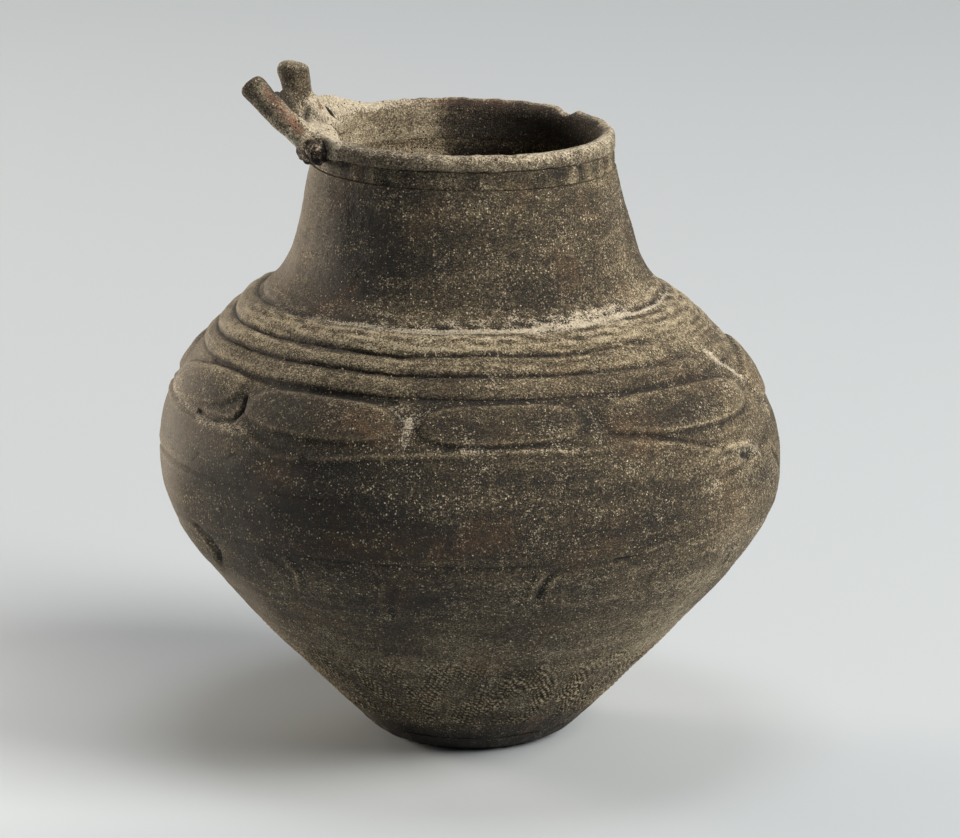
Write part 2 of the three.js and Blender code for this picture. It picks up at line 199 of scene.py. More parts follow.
def settle(points):
    """The askew stand of the jar: a lean towards -X and a slight fall towards +X."""
    settled = points.copy()
    height_share = points[..., 2] / lean_height
    settled[..., 0] -= lean_at_top * height_share ** 2
    settled[..., 2] -= math.tan(math.radians(tilt_angle)) * points[..., 0] * height_share
    return settled


# Smoked clay
# Low-fired earthenware, coiled, wiped and blackened by smoke: matt and gritty to the eye, streaked
# level by the wiping, with a cream bloom of lime, dirt and painted shade in its cracks, and one rubbed,
# glossier flank with a painted sheen.
streak_length = 55 * mm
mottle_size = 6 * mm
drag_pitch = 9 * mm

# Real silt and sand of 0.1 to 0.3 mm is too fine to show, so both are drawn about twice as coarse
grit_size = 0.62 * mm
granule_pitch = 0.58 * mm

# Crushed rock of about a millimetre, a few pebbles, and pores where a grain has dropped out
temper_pitch = 1.1 * mm
temper_radius = 0.4
pebble_pitch = 5 * mm
pebble_radius = 0.11
pore_pitch = 1.3 * mm
pore_radius = 0.38

# How much each pattern moves the tone
streak_weight = 0.9
mottle_weight = 0.4
grit_weight = 1.1
granule_weight = 0.55
tone_offset = 1.43
bump_strength = 0.9
bump_height = 0.6 * mm

crust_hex = "#ddd1ba"
crust_shade_hex = "#a2957d"
# Colour of pores, dirt and painted shade
dirt_and_shade_hex = "#0e0b07"
# Painted sheen: the light grey that the polished flank is mixed towards
painted_sheen_hex = "#7d7260"
temper_shade_hex = "#7c6a4d"
temper_hex = "#e0d2b3"
pebble_hex = "#b9a27c"


def add_node(tree, kind, inputs=None, **settings):
    """A node with its settings, and its inputs set, coloured from a hex value or linked."""
    node = tree.nodes.new(kind)
    for name, value in settings.items():
        setattr(node, name, value)
    for socket_name, value in (inputs or {}).items():
        usable = [socket for socket in node.inputs if socket.enabled]
        socket = usable[socket_name] if isinstance(socket_name, int) else None
        for candidate in usable:
            if candidate.name == socket_name and socket is None:
                socket = candidate
        if isinstance(value, bpy.types.Node):
            value = next(output for output in value.outputs if output.enabled)
        if isinstance(value, bpy.types.NodeSocket):
            tree.links.new(value, socket)
        else:
            is_colour = isinstance(value, str) and value.startswith("#")
            socket.default_value = linear_colour(value) if is_colour else value
    return node


def smoked_clay(name, darkest_hex, dark_hex, mid_hex, pale_hex, warm_hex, roughness):
    """A smoked clay body: four tones from soot to the bare pale clay, and that of its rusty patches."""
    clay = bpy.data.materials.new(name)
    clay.use_nodes = True
    tree = clay.node_tree
    place = add_node(tree, "ShaderNodeTexCoord").outputs["Object"]
    level = add_node(tree, "ShaderNodeVectorMath", {0: place, 1: (1, 1, 6)}, operation="MULTIPLY")
    marks = {}
    for mark in ("pale", "crust", "dirt_and_shade", "warm", "polish_and_sheen"):
        marks[mark] = add_node(tree, "ShaderNodeAttribute", attribute_name=mark).outputs["Fac"]

    streaks = add_node(tree, "ShaderNodeTexNoise", {
        "Vector": level, "Scale": 1 / streak_length, "Detail": 9.0, "Roughness": 0.62})
    mottle = add_node(tree, "ShaderNodeTexNoise", {
        "Vector": place, "Scale": 1 / mottle_size, "Detail": 6.0, "Roughness": 0.66})
    grit = add_node(tree, "ShaderNodeTexNoise", {
        "Vector": place, "Scale": 1 / grit_size, "Detail": 2.0, "Roughness": 0.7})
    granules = add_node(tree, "ShaderNodeTexVoronoi", {"Vector": place, "Scale": 1 / granule_pitch})
    granule_pick = add_node(tree, "ShaderNodeSeparateColor", {0: granules.outputs["Color"]})
    granule = granule_pick.outputs[0]
    drag = add_node(tree, "ShaderNodeVectorMath", {0: place, 1: (1, 1, 9)}, operation="MULTIPLY")
    drag_lines = add_node(tree, "ShaderNodeTexNoise", {
        "Vector": drag, "Scale": 1 / drag_pitch, "Detail": 4.0, "Roughness": 0.7})

    # The tone is the piece's own, moved by the streaks, the mottle and the grit
    tone = marks["pale"]
    patterns = (streaks, mottle, grit, granule)
    weights = (streak_weight, mottle_weight, grit_weight, granule_weight)
    for pattern, weight in zip(patterns, weights):
        tone = add_node(tree, "ShaderNodeMath", {0: pattern, 1: weight, 2: tone}, operation="MULTIPLY_ADD")
    tone = add_node(tree, "ShaderNodeMath", {0: tone, 1: tone_offset}, operation="SUBTRACT")
    body = add_node(tree, "ShaderNodeValToRGB", {"Fac": tone})
    body.color_ramp.elements[0].color = linear_colour(darkest_hex)
    body.color_ramp.elements[1].color = linear_colour(pale_hex)
    body.color_ramp.elements.new(0.34).color = linear_colour(dark_hex)
    body.color_ramp.elements.new(0.66).color = linear_colour(mid_hex)

    # Rusty patches where the fire's smoke was burnt off
    warmth = add_node(tree, "ShaderNodeMapRange", {
        "Value": mottle, "From Min": 0.36, "From Max": 0.62, "To Max": 0.75})
    warmth = add_node(tree, "ShaderNodeMath", {0: warmth, 1: marks["warm"]}, operation="MULTIPLY")
    colour = add_node(tree, "ShaderNodeMix", {
        "Factor": warmth, "A": body, "B": warm_hex}, data_type="RGBA")
    # Painted sheen: the polished flank is mixed towards a light grey
    painted_sheen = add_node(tree, "ShaderNodeMath", {0: marks["polish_and_sheen"], 1: 0.45}, operation="MULTIPLY")
    colour = add_node(tree, "ShaderNodeMix", {
        "Factor": painted_sheen, "A": colour, "B": painted_sheen_hex}, data_type="RGBA")

    # The cream crust breaks up into grit at its edges
    crumbs = add_node(tree, "ShaderNodeMath", {0: grit, 1: mottle}, operation="ADD")
    crumbs = add_node(tree, "ShaderNodeMath", {0: marks["crust"], 1: crumbs}, operation="ADD")
    crumbs = add_node(tree, "ShaderNodeMath", {0: granule, 1: 0.5, 2: crumbs}, operation="MULTIPLY_ADD")
    crumbs = add_node(tree, "ShaderNodeMapRange", {
        "Value": crumbs, "From Min": 1.62, "From Max": 2.1, "To Max": 0.92})
    crust_tint = add_node(tree, "ShaderNodeMix", {
        "Factor": granule, "A": crust_shade_hex, "B": crust_hex}, data_type="RGBA")
    colour = add_node(tree, "ShaderNodeMix", {
        "Factor": crumbs, "A": colour, "B": crust_tint.outputs[2]}, data_type="RGBA")

    # Pale temper grains show through, each with its own ragged shape, size and colour
    ragged = add_node(tree, "ShaderNodeTexNoise", {
        "Vector": place, "Scale": 2 / temper_pitch, "Detail": 1.0})
    ragged = add_node(tree, "ShaderNodeVectorMath", {
        0: ragged.outputs["Color"], 1: (1.4 * temper_pitch,) * 3, 2: place}, operation="MULTIPLY_ADD")
    temper = add_node(tree, "ShaderNodeTexVoronoi", {"Vector": ragged, "Scale": 1 / temper_pitch})
    temper_pick = add_node(tree, "ShaderNodeSeparateColor", {0: temper.outputs["Color"]})
    drift = add_node(tree, "ShaderNodeMath", {
        0: streaks, 1: 1.6, 2: temper_pick.outputs[0]}, operation="MULTIPLY_ADD")
    temper_reach = add_node(tree, "ShaderNodeMapRange", {
        "Value": drift, "From Min": 1.15, "From Max": 1.95, "To Max": temper_radius})
    grain = add_node(tree, "ShaderNodeMath", {
        0: temper.outputs["Distance"], 1: temper_reach}, operation="LESS_THAN")
    shown = add_node(tree, "ShaderNodeMath", {0: 1.0, 1: marks["polish_and_sheen"]}, operation="SUBTRACT")
    grain = add_node(tree, "ShaderNodeMath", {0: grain, 1: shown}, operation="MULTIPLY")
    grain_tint = add_node(tree, "ShaderNodeMix", {
        "Factor": temper_pick.outputs[1], "A": temper_shade_hex, "B": temper_hex}, data_type="RGBA")
    colour = add_node(tree, "ShaderNodeMix", {
        "Factor": grain, "A": colour, "B": grain_tint}, data_type="RGBA")

    # A few coarser pebbles, and pores where a grain has dropped out
    pebbles = add_node(tree, "ShaderNodeTexVoronoi", {"Vector": ragged, "Scale": 1 / pebble_pitch})
    pebble_pick = add_node(tree, "ShaderNodeSeparateColor", {0: pebbles.outputs["Color"]})
    pebble_reach = add_node(tree, "ShaderNodeMapRange", {
        "Value": pebble_pick.outputs[0], "From Min": 0.6, "To Max": pebble_radius})
    pebble = add_node(tree, "ShaderNodeMath", {
        0: pebbles.outputs["Distance"], 1: pebble_reach}, operation="LESS_THAN")
    pebble = add_node(tree, "ShaderNodeMath", {0: pebble, 1: shown}, operation="MULTIPLY")
    colour = add_node(tree, "ShaderNodeMix", {
        "Factor": pebble, "A": colour, "B": pebble_hex}, data_type="RGBA")
    pores = add_node(tree, "ShaderNodeTexVoronoi", {"Vector": place, "Scale": 1 / pore_pitch})
    pore_pick = add_node(tree, "ShaderNodeSeparateColor", {0: pores.outputs["Color"]})
    pore_reach = add_node(tree, "ShaderNodeMapRange", {
        "Value": pore_pick.outputs[0], "From Min": 0.6, "To Max": pore_radius})
    pore = add_node(tree, "ShaderNodeMath", {
        0: pores.outputs["Distance"], 1: pore_reach}, operation="LESS_THAN")
    # Pores, dirt and painted shade take the darkest colour
    dark_spots = add_node(tree, "ShaderNodeMath", {0: pore, 1: marks["dirt_and_shade"]}, operation="MAXIMUM")
    colour = add_node(tree, "ShaderNodeMix", {
        "Factor": dark_spots, "A": colour, "B": dirt_and_shade_hex}, data_type="RGBA")

    # Rough all over, a little smoother where it is polished
    matt = add_node(tree, "ShaderNodeMath", {
        0: mottle, 1: 0.3, 2: roughness - 0.15}, operation="MULTIPLY_ADD")
    gloss = add_node(tree, "ShaderNodeMath", {0: marks["polish_and_sheen"], 1: 0.2}, operation="MULTIPLY")
    matt = add_node(tree, "ShaderNodeMath", {0: matt, 1: gloss}, operation="SUBTRACT")

    # Grains, granules and pebbles stand up, level drag lines run round, and pores sink
    round_top = add_node(tree, "ShaderNodeMath", {
        0: 1.0, 1: granules.outputs["Distance"]}, operation="SUBTRACT")
    lump = add_node(tree, "ShaderNodeMath", {
        0: round_top, 1: granule_pick.outputs[1]}, operation="MULTIPLY")
    rise = grain
    for pattern, weight in ((lump, 1.3), (grit, 0.8), (pebble, 1.2), (drag_lines, 1.2)):
        rise = add_node(tree, "ShaderNodeMath", {0: pattern, 1: weight, 2: rise}, operation="MULTIPLY_ADD")
    rise = add_node(tree, "ShaderNodeMath", {0: rise, 1: pore}, operation="SUBTRACT")
    surface = add_node(tree, "ShaderNodeBump", {
        "Height": rise, "Strength": bump_strength, "Distance": bump_height})

    shader = tree.nodes["Principled BSDF"]
    tree.links.new(colour.outputs[2], shader.inputs["Base Color"])
    tree.links.new(matt.outputs[0], shader.inputs["Roughness"])
    tree.links.new(surface.outputs[0], shader.inputs["Normal"])
    return clay


wall_roughness = 0.82
wall_tones = ("#110d07", "#393021", "#6d6049", "#b6a88a", "#65482e")
wall_clay = smoked_clay("smoked_earthenware", *wall_tones, wall_roughness)


# Marks of the hand
# What the maker's hands left all over the jar: slow unevenness, and the ridges, creases and
# cuts drawn across its joints. Angles are degrees from the front, growing to the right.
turns = 900
angle_steps = np.arange(turns) * 360.0 / turns
scar_path = [(60.5, 144.5), (62.8, 143.2)]
scar_width = 1.7

# Each line's rise and half width in mm, and its path in degrees and mm up the wall
drawn_lines = [
    (0.9, 1.7, [(-92, 158), (-72, 156), (-60, 155.6), (-51, 156.6), (-46, 157)]),
    (-1.5, 1.1, [(-50.5, 171), (-49.6, 166), (-51, 161.5), (-56, 159.6), (-64, 160)]),
    (-1.0, 1.5, [(-70, 179.6), (-50, 179.2), (-30, 178.8), (-15, 178.2)]),
    (-0.5, 0.4, [(-11, 200.4), (-3, 199.9)]),
    (0.8, 1.4, [(-48, 160), (-43, 155.5), (-38, 152), (-33, 151.5)]),
    (0.9, 1.4, [(-30, 152.5), (-20, 156), (-10, 158), (2, 159.6), (12, 160.2), (20, 159)]),
    (0.8, 1.6, [(22, 158.5), (32, 160), (42, 157), (52, 151), (62, 149)]),
    (-0.9, 1.2, [(28, 164.5), (36, 162.5), (46, 156.5), (54, 150.5)]),
    (-0.4, 0.6, [(-60.5, 140), (-58.5, 144.5)]),
    (-0.35, 0.5, [(-58.3, 139), (-57, 142.5)]),
    (-0.45, 0.6, [(-49.5, 146), (-47, 149.5)]),
    (-0.8, 0.8, [(-48.2, 158.6), (-47.6, 157.6)]),
    (-0.9, 1.3, [(-58, 96), (-56, 101), (-57, 107), (-61, 110)]),
    (0.9, 1.6, [(-60.5, 94), (-58.5, 100), (-59, 105), (-63, 109)]),
    (-0.8, 1.3, [(-16, 84), (-15.5, 92), (-14, 100)]),
    (0.8, 1.4, [(-18, 86), (-17.6, 93), (-16.4, 101)]),
    (0.8, 1.5, [(-36, 92), (-34.5, 100), (-36, 107)]),
    (0.7, 1.3, [(11.2, 94), (11.8, 100), (13, 106)]),
    (-1.0, 1.0, [(13, 95), (13.6, 100), (14.8, 105)]),
    (-1.0, 1.0, [(27, 110.5), (30, 110.8), (32, 112)]),
    (0.7, 1.2, [(31, 111), (34, 113.5), (38, 116)]),
    (0.6, 2.4, [(20, 146), (40, 147), (58, 151), (72, 155)]),
    (-0.6, 1.4, [(52, 138), (62, 141), (72, 146)]),
    (-0.8, 1.3, [(75, 139), (79, 133), (82, 128)]),
    (-1.1, 1.4, [(-100, 133), (-84, 133.5), (-74, 134.5), (-62, 135)]),
    (-0.5, 0.9, [(-62, 135), (-50, 135), (-38, 136), (-26, 137)]),
    (-0.4, 0.7, [(-70, 110.3), (-50, 109.8), (-30, 110.4), (-10, 110.6), (12, 110.3)]),
    (-1.2, 2.0, scar_path),
    (0.5, 1.8, [(57, 148.5), (62, 148.8), (66.5, 145.5), (67.5, 140)]),
    (0.6, 2.0, [(95, 140), (120, 144), (150, 141), (180, 145)]),
    (-0.7, 1.3, [(120, 128), (135, 131), (150, 129)]),
    (-0.8, 1.1, [(170, 96), (171, 104)]),
    (0.8, 1.4, [(205, 156), (225, 159), (250, 157), (266, 160)]),
    (-0.6, 1.0, [(230, 134), (245, 136), (262, 134)]),
]


def waves(angle, height, length, seed, count=18):
    """Smooth unevenness round the jar, of a wave length in mm, about -1 to 1."""
    draw = np.random.default_rng(seed)
    total = np.zeros(np.broadcast(angle, height).shape)
    for _ in range(count):
        heading = draw.uniform(0, math.pi)
        frequency = 2 * math.pi / (length * draw.uniform(0.7, 1.5))
        round_count = round(frequency * math.cos(heading) * 110)
        phase = draw.uniform(0, 2 * math.pi)
        total += np.cos(np.radians(angle) * round_count + frequency * math.sin(heading) * height + phase)
    return total / math.sqrt(count)


def around(angle, other):
    """Degrees from one direction to another, -180 to 180."""
    return (angle - other + 180) % 360 - 180


def bell(value, width):
    """1 at 0, falling smoothly away on both sides."""
    return np.exp(-(value / width) ** 2)


def stroke(angle, height, path, width):
    """1 along a drawn line and 0 away from it; path points are degrees and mm up the wall."""
    path = np.array(path, dtype=float)
    middle = path[:, 0].mean()
    across = around(angle, middle) + middle
    scale = math.radians(1) * np.interp(path[:, 1].mean(), wall_line[:, 1], wall_line[:, 0])
    nearest = np.full(np.broadcast(across, height).shape, 1e3)
    for (a0, z0), (a1, z1) in zip(path[:-1], path[1:]):
        dx = (a1 - a0) * scale
        dz = z1 - z0
        px = (across - a0) * scale
        pz = height - z0
        along = np.clip((px * dx + pz * dz) / max(1e-6, dx * dx + dz * dz), 0, 1)
        nearest = np.minimum(nearest, np.hypot(px - along * dx, pz - along * dz))
    return bell(nearest, width)


def wiping(angle, height):
    """Fine level lines left by a wiping hand, about -1 to 1."""
    return waves(angle * 0.16, height, 2.6, 8, 26)


def hand_marks(angle, height):
    """The relief that every course shares, in mm."""
    relief = 0.34 * waves(angle, height, 62, 1) + 0.16 * waves(angle, height, 22, 2)
    relief += 0.06 * waves(angle, height, 7, 6, 26) - 0.4
    for rise, width, path in drawn_lines:
        relief += rise * stroke(angle, height, path, width)
    return relief


# Cord marks
# The lowest wall was beaten with a cord-wrapped paddle: slanting rows of small dents, a little
# over two millimetres apart, in overlapping patches.
cord_pitch = 2.2
cord_depth = 0.5
cord_top = 57.0
cord_foot = 16.0
paddle_strokes = 26
paddle_reach = 15


def cord_marks(angle, height):
    radius = np.interp(height, wall_line[:, 1], wall_line[:, 0])
    edge = cord_top + 2.5 * waves(angle, 0 * height, 60, 21)
    band = np.clip((edge - height) / 4, 0, 1) * np.clip((height - cord_foot) / 3, 0, 1)
    draw = np.random.default_rng(22)
    wander = 0.45 * waves(angle, height, 13, 24)
    dents = np.zeros(wander.shape)
    nearest = np.zeros(wander.shape)
    for index in range(paddle_strokes):
        centre = 360 * index / paddle_strokes + draw.uniform(-3, 3)
        slant = math.radians(draw.uniform(38, 58))
        x = np.radians(around(angle, centre)) * radius
        z = (height - 36) * 1.4
        along = (x * math.cos(slant) - z * math.sin(slant)) / (cord_pitch * 1.15)
        row = (x * math.sin(slant) + z * math.cos(slant)) / cord_pitch
        row = row + wander
        strand = np.abs(np.sin(math.pi * (along + 0.5 * (np.floor(row) % 2))))
        dent = np.abs(np.sin(math.pi * row)) * (0.35 + 0.65 * strand)
        near = 1 - (around(angle, centre + 0.06 * (height - 36)) / paddle_reach) ** 2
        dents = np.where(near > nearest, 2 * dent - 1, dents)
        nearest = np.maximum(near, nearest)
    wear = np.clip(0.6 + 0.5 * waves(angle, height, 20, 23), 0.1, 1)
    return band * wear * cord_depth * dents


# Thumbed pads
# Oval pads pressed out between pinched bridges: a bold row under the ribs, and a faint one low
# on the wall. Each is its left and right end in degrees, its foot and top in mm, and its slant.
shoulder_pads = [
    (-86, -52, 161.5, 177.5, 0.12), (-48.5, -14, 161.0, 177.5, 0.0), (-9.5, 22.5, 162.5, 178.0, 0.02),
    (27.5, 70, 161.0, 178.0, -0.03), (76, 108, 159.5, 177.5, 0.06), (113, 149, 161.5, 178.0, 0.0),
    (154, 189, 162.0, 178.0, 0.03), (194, 229, 161.5, 178.0, -0.02), (234, 269, 161.0, 178.0, 0.02),
]
low_pads = [
    (-78, -58, 86, 108, 0.1), (-55, -37, 85, 108, -0.1), (-33, -17, 86, 107, 0.0),
    (-12, 10, 87, 108, 0.05), (14, 33, 88, 109, 0.0), (37, 57, 86, 108, -0.05),
    (61, 81, 87, 108, 0.0), (85, 105, 86, 107, 0.05), (109, 129, 87, 108, 0.0),
    (133, 153, 86, 108, -0.05), (157, 177, 86, 107, 0.0), (181, 201, 87, 108, 0.05),
    (205, 225, 86, 108, 0.0), (229, 249, 87, 107, 0.0), (253, 277, 86, 108, 0.05),
]
shoulder_pad_rise = 1.9
low_pad_rise = 0.6


def pad(angle, height, left, right, low, high, lean):
    """A raised oval pad with steep edges and a gently domed face, 1 over most of it."""
    scale = math.radians(1) * np.interp((low + high) / 2, wall_line[:, 1], wall_line[:, 0])
    x = around(angle, (left + right) / 2) * scale
    z = height - (low + high) / 2 - lean * x
    across = np.abs(x) / ((right - left) / 2 * scale)
    up = np.abs(z) / ((high - low) / 2)
    reach = (across ** 3.4 + up ** 2.6) ** (1 / 2.9)
    edge = np.clip((1.08 - reach) / 0.2, 0, 1)
    return edge * edge * (3 - 2 * edge) * (0.8 + 0.2 * np.clip(1 - reach ** 2, 0, 1))


def pad_row(angle, height, pads):
    rows = [pad(angle, height, *place) for place in pads]
    return np.max(rows, axis=0)


# Ribs
# Three ribs drawn out between finger and thumb round the shoulder, with cracked grooves between
# them, strongest at the front left. The neck rises from a hollow over the top one.
rib_foot = 180.0
rib_crests = (1.8, 2.0, 2.1)
shoulder_seat = 0.7
crack_depth = 0.8
crack_ends = (-66, 30)


def rib_lines(angle):
    """Heights of the four grooves that part the three ribs, from the pads up to the neck."""
    turn = np.radians(angle)
    return [
        rib_foot + 0 * turn,
        187.9 + 0.55 * np.sin(2 * turn + 2) + 0.3 * np.sin(5 * turn),
        195.3 + 0.6 * np.sin(2 * turn + 0.4) + 0.35 * np.sin(7 * turn + 1),
        203.8 + 0.9 * np.sin(turn),
    ]


def rib_cracks(angle, height):
    """1 in the thin cracks that run along the two upper grooves at the front."""
    turn = around(angle, sum(crack_ends) / 2)
    shown = np.clip(((crack_ends[1] - crack_ends[0]) / 2 + 10 - np.abs(turn)) / 10, 0, 1)
    shown = shown * np.clip(0.6 + 0.45 * waves(angle, height, 30, 43), 0, 1)
    wander = 0.35 * waves(angle, 0 * height, 9, 41)
    lines = rib_lines(angle)[1:3]
    return shown * sum(bell(height - line - wander, 0.4) for line in lines)


def shoulder_marks(angle, height):
    """The ribs, the seat that they and the pads sink to, and the hollow at the neck, in mm."""
    lines = rib_lines(angle)
    relief = -shoulder_seat * np.clip((height - rib_foot + 7) / 7, 0, 1) ** 2
    strength = 0.58 + 0.44 * np.cos(np.radians(angle + 62)) + 0.12 * waves(angle, height, 60, 42)
    for low, high, crest in zip(lines[:-1], lines[1:], rib_crests):
        share = (height - low) / (high - low)
        swell = np.clip(4 * share * (1 - share), 0, 1) ** 0.72 * (1.14 - 0.28 * share)
        rib = crest * strength * swell - shoulder_seat
        relief = np.where((share >= 0) & (share < 1), rib, relief)
    above = height - lines[3]
    relief = np.where(above >= 0, -shoulder_seat * np.clip(1 - above / 7, 0, 1) ** 2, relief)
    drag = 0.12 * wiping(angle, height) * bell(height - 192, 14)
    ledge = (0.45 + 0.45 * np.clip(np.sin(np.radians(angle)), 0, 1)) * bell(above - 1.3, 1.7)
    return relief + drag - ledge - crack_depth * rib_cracks(angle, height)


def jar_relief(angle, height):
    """How far the worked surface stands off the line of the wall, in mm."""
    angle, height = np.broadcast_arrays(angle, height)
    relief = hand_marks(angle, height)
    if height.min() < cord_top + 8:
        relief = relief + cord_marks(angle, height)
    if height.min() < 112 and height.max() > 80:
        relief = relief + low_pad_rise * pad_row(angle, height, low_pads)
    if height.max() > rib_foot - 28:
        relief = relief + shoulder_pad_rise * pad_row(angle, height, shoulder_pads)
        relief = relief + shoulder_marks(angle, height)
    return relief


# Tones of the jar
# Where the clay is pale, crusted with lime, dirty or in painted shade, rusty, or polished with a painted
# sheen. Crests are worn pale with painted light, and hollows keep dirt and painted shade, both read off
# the relief.
# The tone by height falls to almost nothing at the heel: painted shade at the jar's foot
tone_heights = [0, 9, 22, 55, 64, 96, 122, 150, 160, 170, 181, 190, 202, 207, 216, 240, 262, 300]
tone_levels = [0, .04, .33, .42, .32, .26, .2, .23, .3, .22, .36, .45, .5, .36, .26, .24, .32, .36]
crest_reach = 2.6

# Patches: two big dark ones at the front left of neck and belly are painted shade, then a paler and a
# small darker one; then rusty ones: strength, middle in degrees and mm, and spread
shade_and_tone_patches = [
    (-0.4, (-38, 232), (17, 26)),
    (0.1, (-12, 193), (30, 8)),
    (-0.12, (45, 188), (26, 18)),
    (-0.42, (-34, 130), (24, 26)),
]
rusty_patches = [
    (0.8, (-20, 168), (8, 6)),
    (0.5, (-20, 118), (16, 8)),
]

# Streaks of lime: strength, half width in mm, and path in degrees and mm
crust_lines = [
    (0.36, 2.0, [(-11.8, 162.5), (-11.6, 171)]),
    (0.22, 1.6, [(-11.6, 171), (-15.5, 176.5)]),
    (0.26, 1.7, [(-11.6, 171), (-6.5, 177)]),
    (0.28, 1.8, [(25.5, 162.5), (25, 174)]),
    (0.8, 2.6, [(68.5, 185), (69.5, 182)]),
    (0.6, 1.5, [(70, 181), (72.5, 176), (75.5, 171)]),
    (0.28, 2.4, [(59, 147.5), (63, 147), (66, 144.5)]),
    (0.42, 3.0, [(-88, 164), (-78, 160.5), (-66, 158.5), (-56, 157.5), (-47, 158.5)]),
    (0.25, 1.0, [(-8, 160.2), (8, 160.6), (22, 159.6)]),
]


def box_mean(values, reach, axis):
    """The mean over so many steps to each side, held at the ends."""
    width = [(reach + 1, reach) if i == axis else (0, 0) for i in range(values.ndim)]
    total = np.cumsum(np.pad(values, width, mode="edge"), axis=axis)
    span = values.shape[axis]
    ahead = np.take(total, np.arange(span) + 2 * reach + 1, axis=axis)
    return (ahead - np.take(total, np.arange(span), axis=axis)) / (2 * reach + 1)


def patch(angle, height, middle, spread):
    """A soft patch on the wall, 1 at its middle."""
    return bell(angle - middle[0], spread[0]) * bell(height - middle[1], spread[1])


def clay_marks(angle, height, crest):
    """One value each per point; crest is how far it stands over the relief round it, in mm."""
    turn = around(angle, 0)
    wiped = wiping(angle, height) * bell(height - 202, 10)
    # Paler on the right and left flanks: partly wear, partly painted light where the side lamps fall;
    # paler low on the right: painted light
    worn_lit_right = np.clip((turn - 20) / 40, 0, 1)
    worn_lit_left = np.clip((-turn - 48) / 30, 0, 1)
    lit_low_right = np.clip((turn - 25) / 30, 0, 1) * bell(height - 80, 45)
    pale = np.interp(height, tone_heights, tone_levels) + 0.06 * waves(angle, height, 60, 3)
    pale = pale + 0.12 * wiped + 0.16 * worn_lit_right + 0.2 * worn_lit_left + 0.22 * lit_low_right
    # The two big dark patches are painted shade
    for strength, middle, spread in shade_and_tone_patches:
        pale = pale + strength * patch(turn, height, middle, spread)
    # Crests paler and hollows darker, from wear and dirt and from painted light and shade; on the
    # cord-marked band it is made stronger, as painted shade in the dents
    pale = pale + (0.5 + 0.8 * bell(height - 37, 21)) * np.clip(crest, -0.6, 0.5)

    # Lime lies along the foot of the neck and thins out towards the lower left
    lime_right = np.clip((turn - 35) / 50, 0, 1)
    bare_left = np.clip((-turn - 5) / 25, 0, 1) * np.clip((160 - height) / 20, 0, 1)
    over_neck_foot = height - rib_lines(turn)[3] - 0.5
    crust = 0.1 + 0.08 * waves(angle, height, 24, 4) + 0.12 * (lime_right - bare_left)
    crust = crust + 0.9 * bell(over_neck_foot, 0.7) * bell(turn - 14, 62)
    crust = crust + (0.3 + 0.3 * wiped) * bell(over_neck_foot - 1, 5) * bell(turn - 18, 60)
    crust = crust + 0.42 * bell(over_neck_foot - 1.8, 2.4) * bell(turn - 38, 17)
    for amount, width, path in crust_lines:
        if height.min() - 8 < path[0][1] < height.max() + 8:
            crust = crust + amount * stroke(angle, height, path, width)

    warm = 0.55 * np.clip(0.8 * waves(angle, height, 40, 5) - 0.3, 0, 1)
    for strength, middle, spread in rusty_patches:
        warm = warm + strength * patch(turn, height, middle, spread)

    # The left flank is rubbed to a polish with a painted sheen, which fades out unevenly at both sides
    rubbed_edge = 14 * waves(angle, height, 55, 9)
    polish_and_sheen = np.clip((-turn - 54 + 0.7 * rubbed_edge) / 26, 0, 1)
    polish_and_sheen = polish_and_sheen * np.clip((turn + 155 + rubbed_edge) / 50, 0, 1)
    # Dirt and painted shade in the hollows, and painted shade darkening the wall below 19 mm, at the heel
    # and under the jar
    dirt_and_shade = np.clip(-0.75 * crest - 0.28, 0, 0.5) + 0.85 * np.clip(1 - height / 19, 0, 1)
    if height.min() < 150 and height.max() > 140:
        dirt_and_shade = dirt_and_shade + 0.8 * stroke(angle, height, scar_path, scar_width)
    marks = {"pale": pale, "crust": crust, "dirt_and_shade": dirt_and_shade, "warm": warm, "polish_and_sheen": polish_and_sheen}
    shape = np.broadcast(angle, height).shape
    return {name: np.clip(np.broadcast_to(values, shape), 0, 1) for name, values in marks.items()}


def mesh_piece(name, points, faces, marks, clay, sharp_rings=()):
    """A mesh object in metres from millimetre points, quads and the clay's marks."""
    mesh = bpy.data.meshes.new(name)
    mesh.vertices.add(len(points))
    mesh.vertices.foreach_set("co", (points * mm).astype(np.float32).ravel())
    mesh.loops.add(faces.size)
    mesh.loops.foreach_set("vertex_index", faces.astype(np.int32).ravel())
    mesh.polygons.add(len(faces))
    mesh.polygons.foreach_set("loop_start", (np.arange(len(faces)) * 4).astype(np.int32))
    mesh.update(calc_edges=True)
    mesh.polygons.foreach_set("use_smooth", np.ones(len(faces), dtype=bool))
    for mark, values in marks.items():
        layer = mesh.attributes.new(mark, "FLOAT", "POINT")
        layer.data.foreach_set("value", np.asarray(values, dtype=np.float32).ravel())
    if len(sharp_rings):
        on_ring = np.full(len(points), -1)
        for index, ring in enumerate(sharp_rings):
            on_ring[ring] = index
        ends = np.empty(len(mesh.edges) * 2, dtype=np.int32)
        mesh.edges.foreach_get("vertices", ends)
        ends = ends.reshape(-1, 2)
        sharp = (on_ring[ends[:, 0]] >= 0) & (on_ring[ends[:, 0]] == on_ring[ends[:, 1]])
        layer = mesh.attributes.new("sharp_edge", "BOOLEAN", "EDGE")
        layer.data.foreach_set("value", sharp)
    mesh.validate()
    mesh.materials.append(clay)
    piece = bpy.data.objects.new(name, mesh)
    scene.collection.objects.link(piece)
    return piece


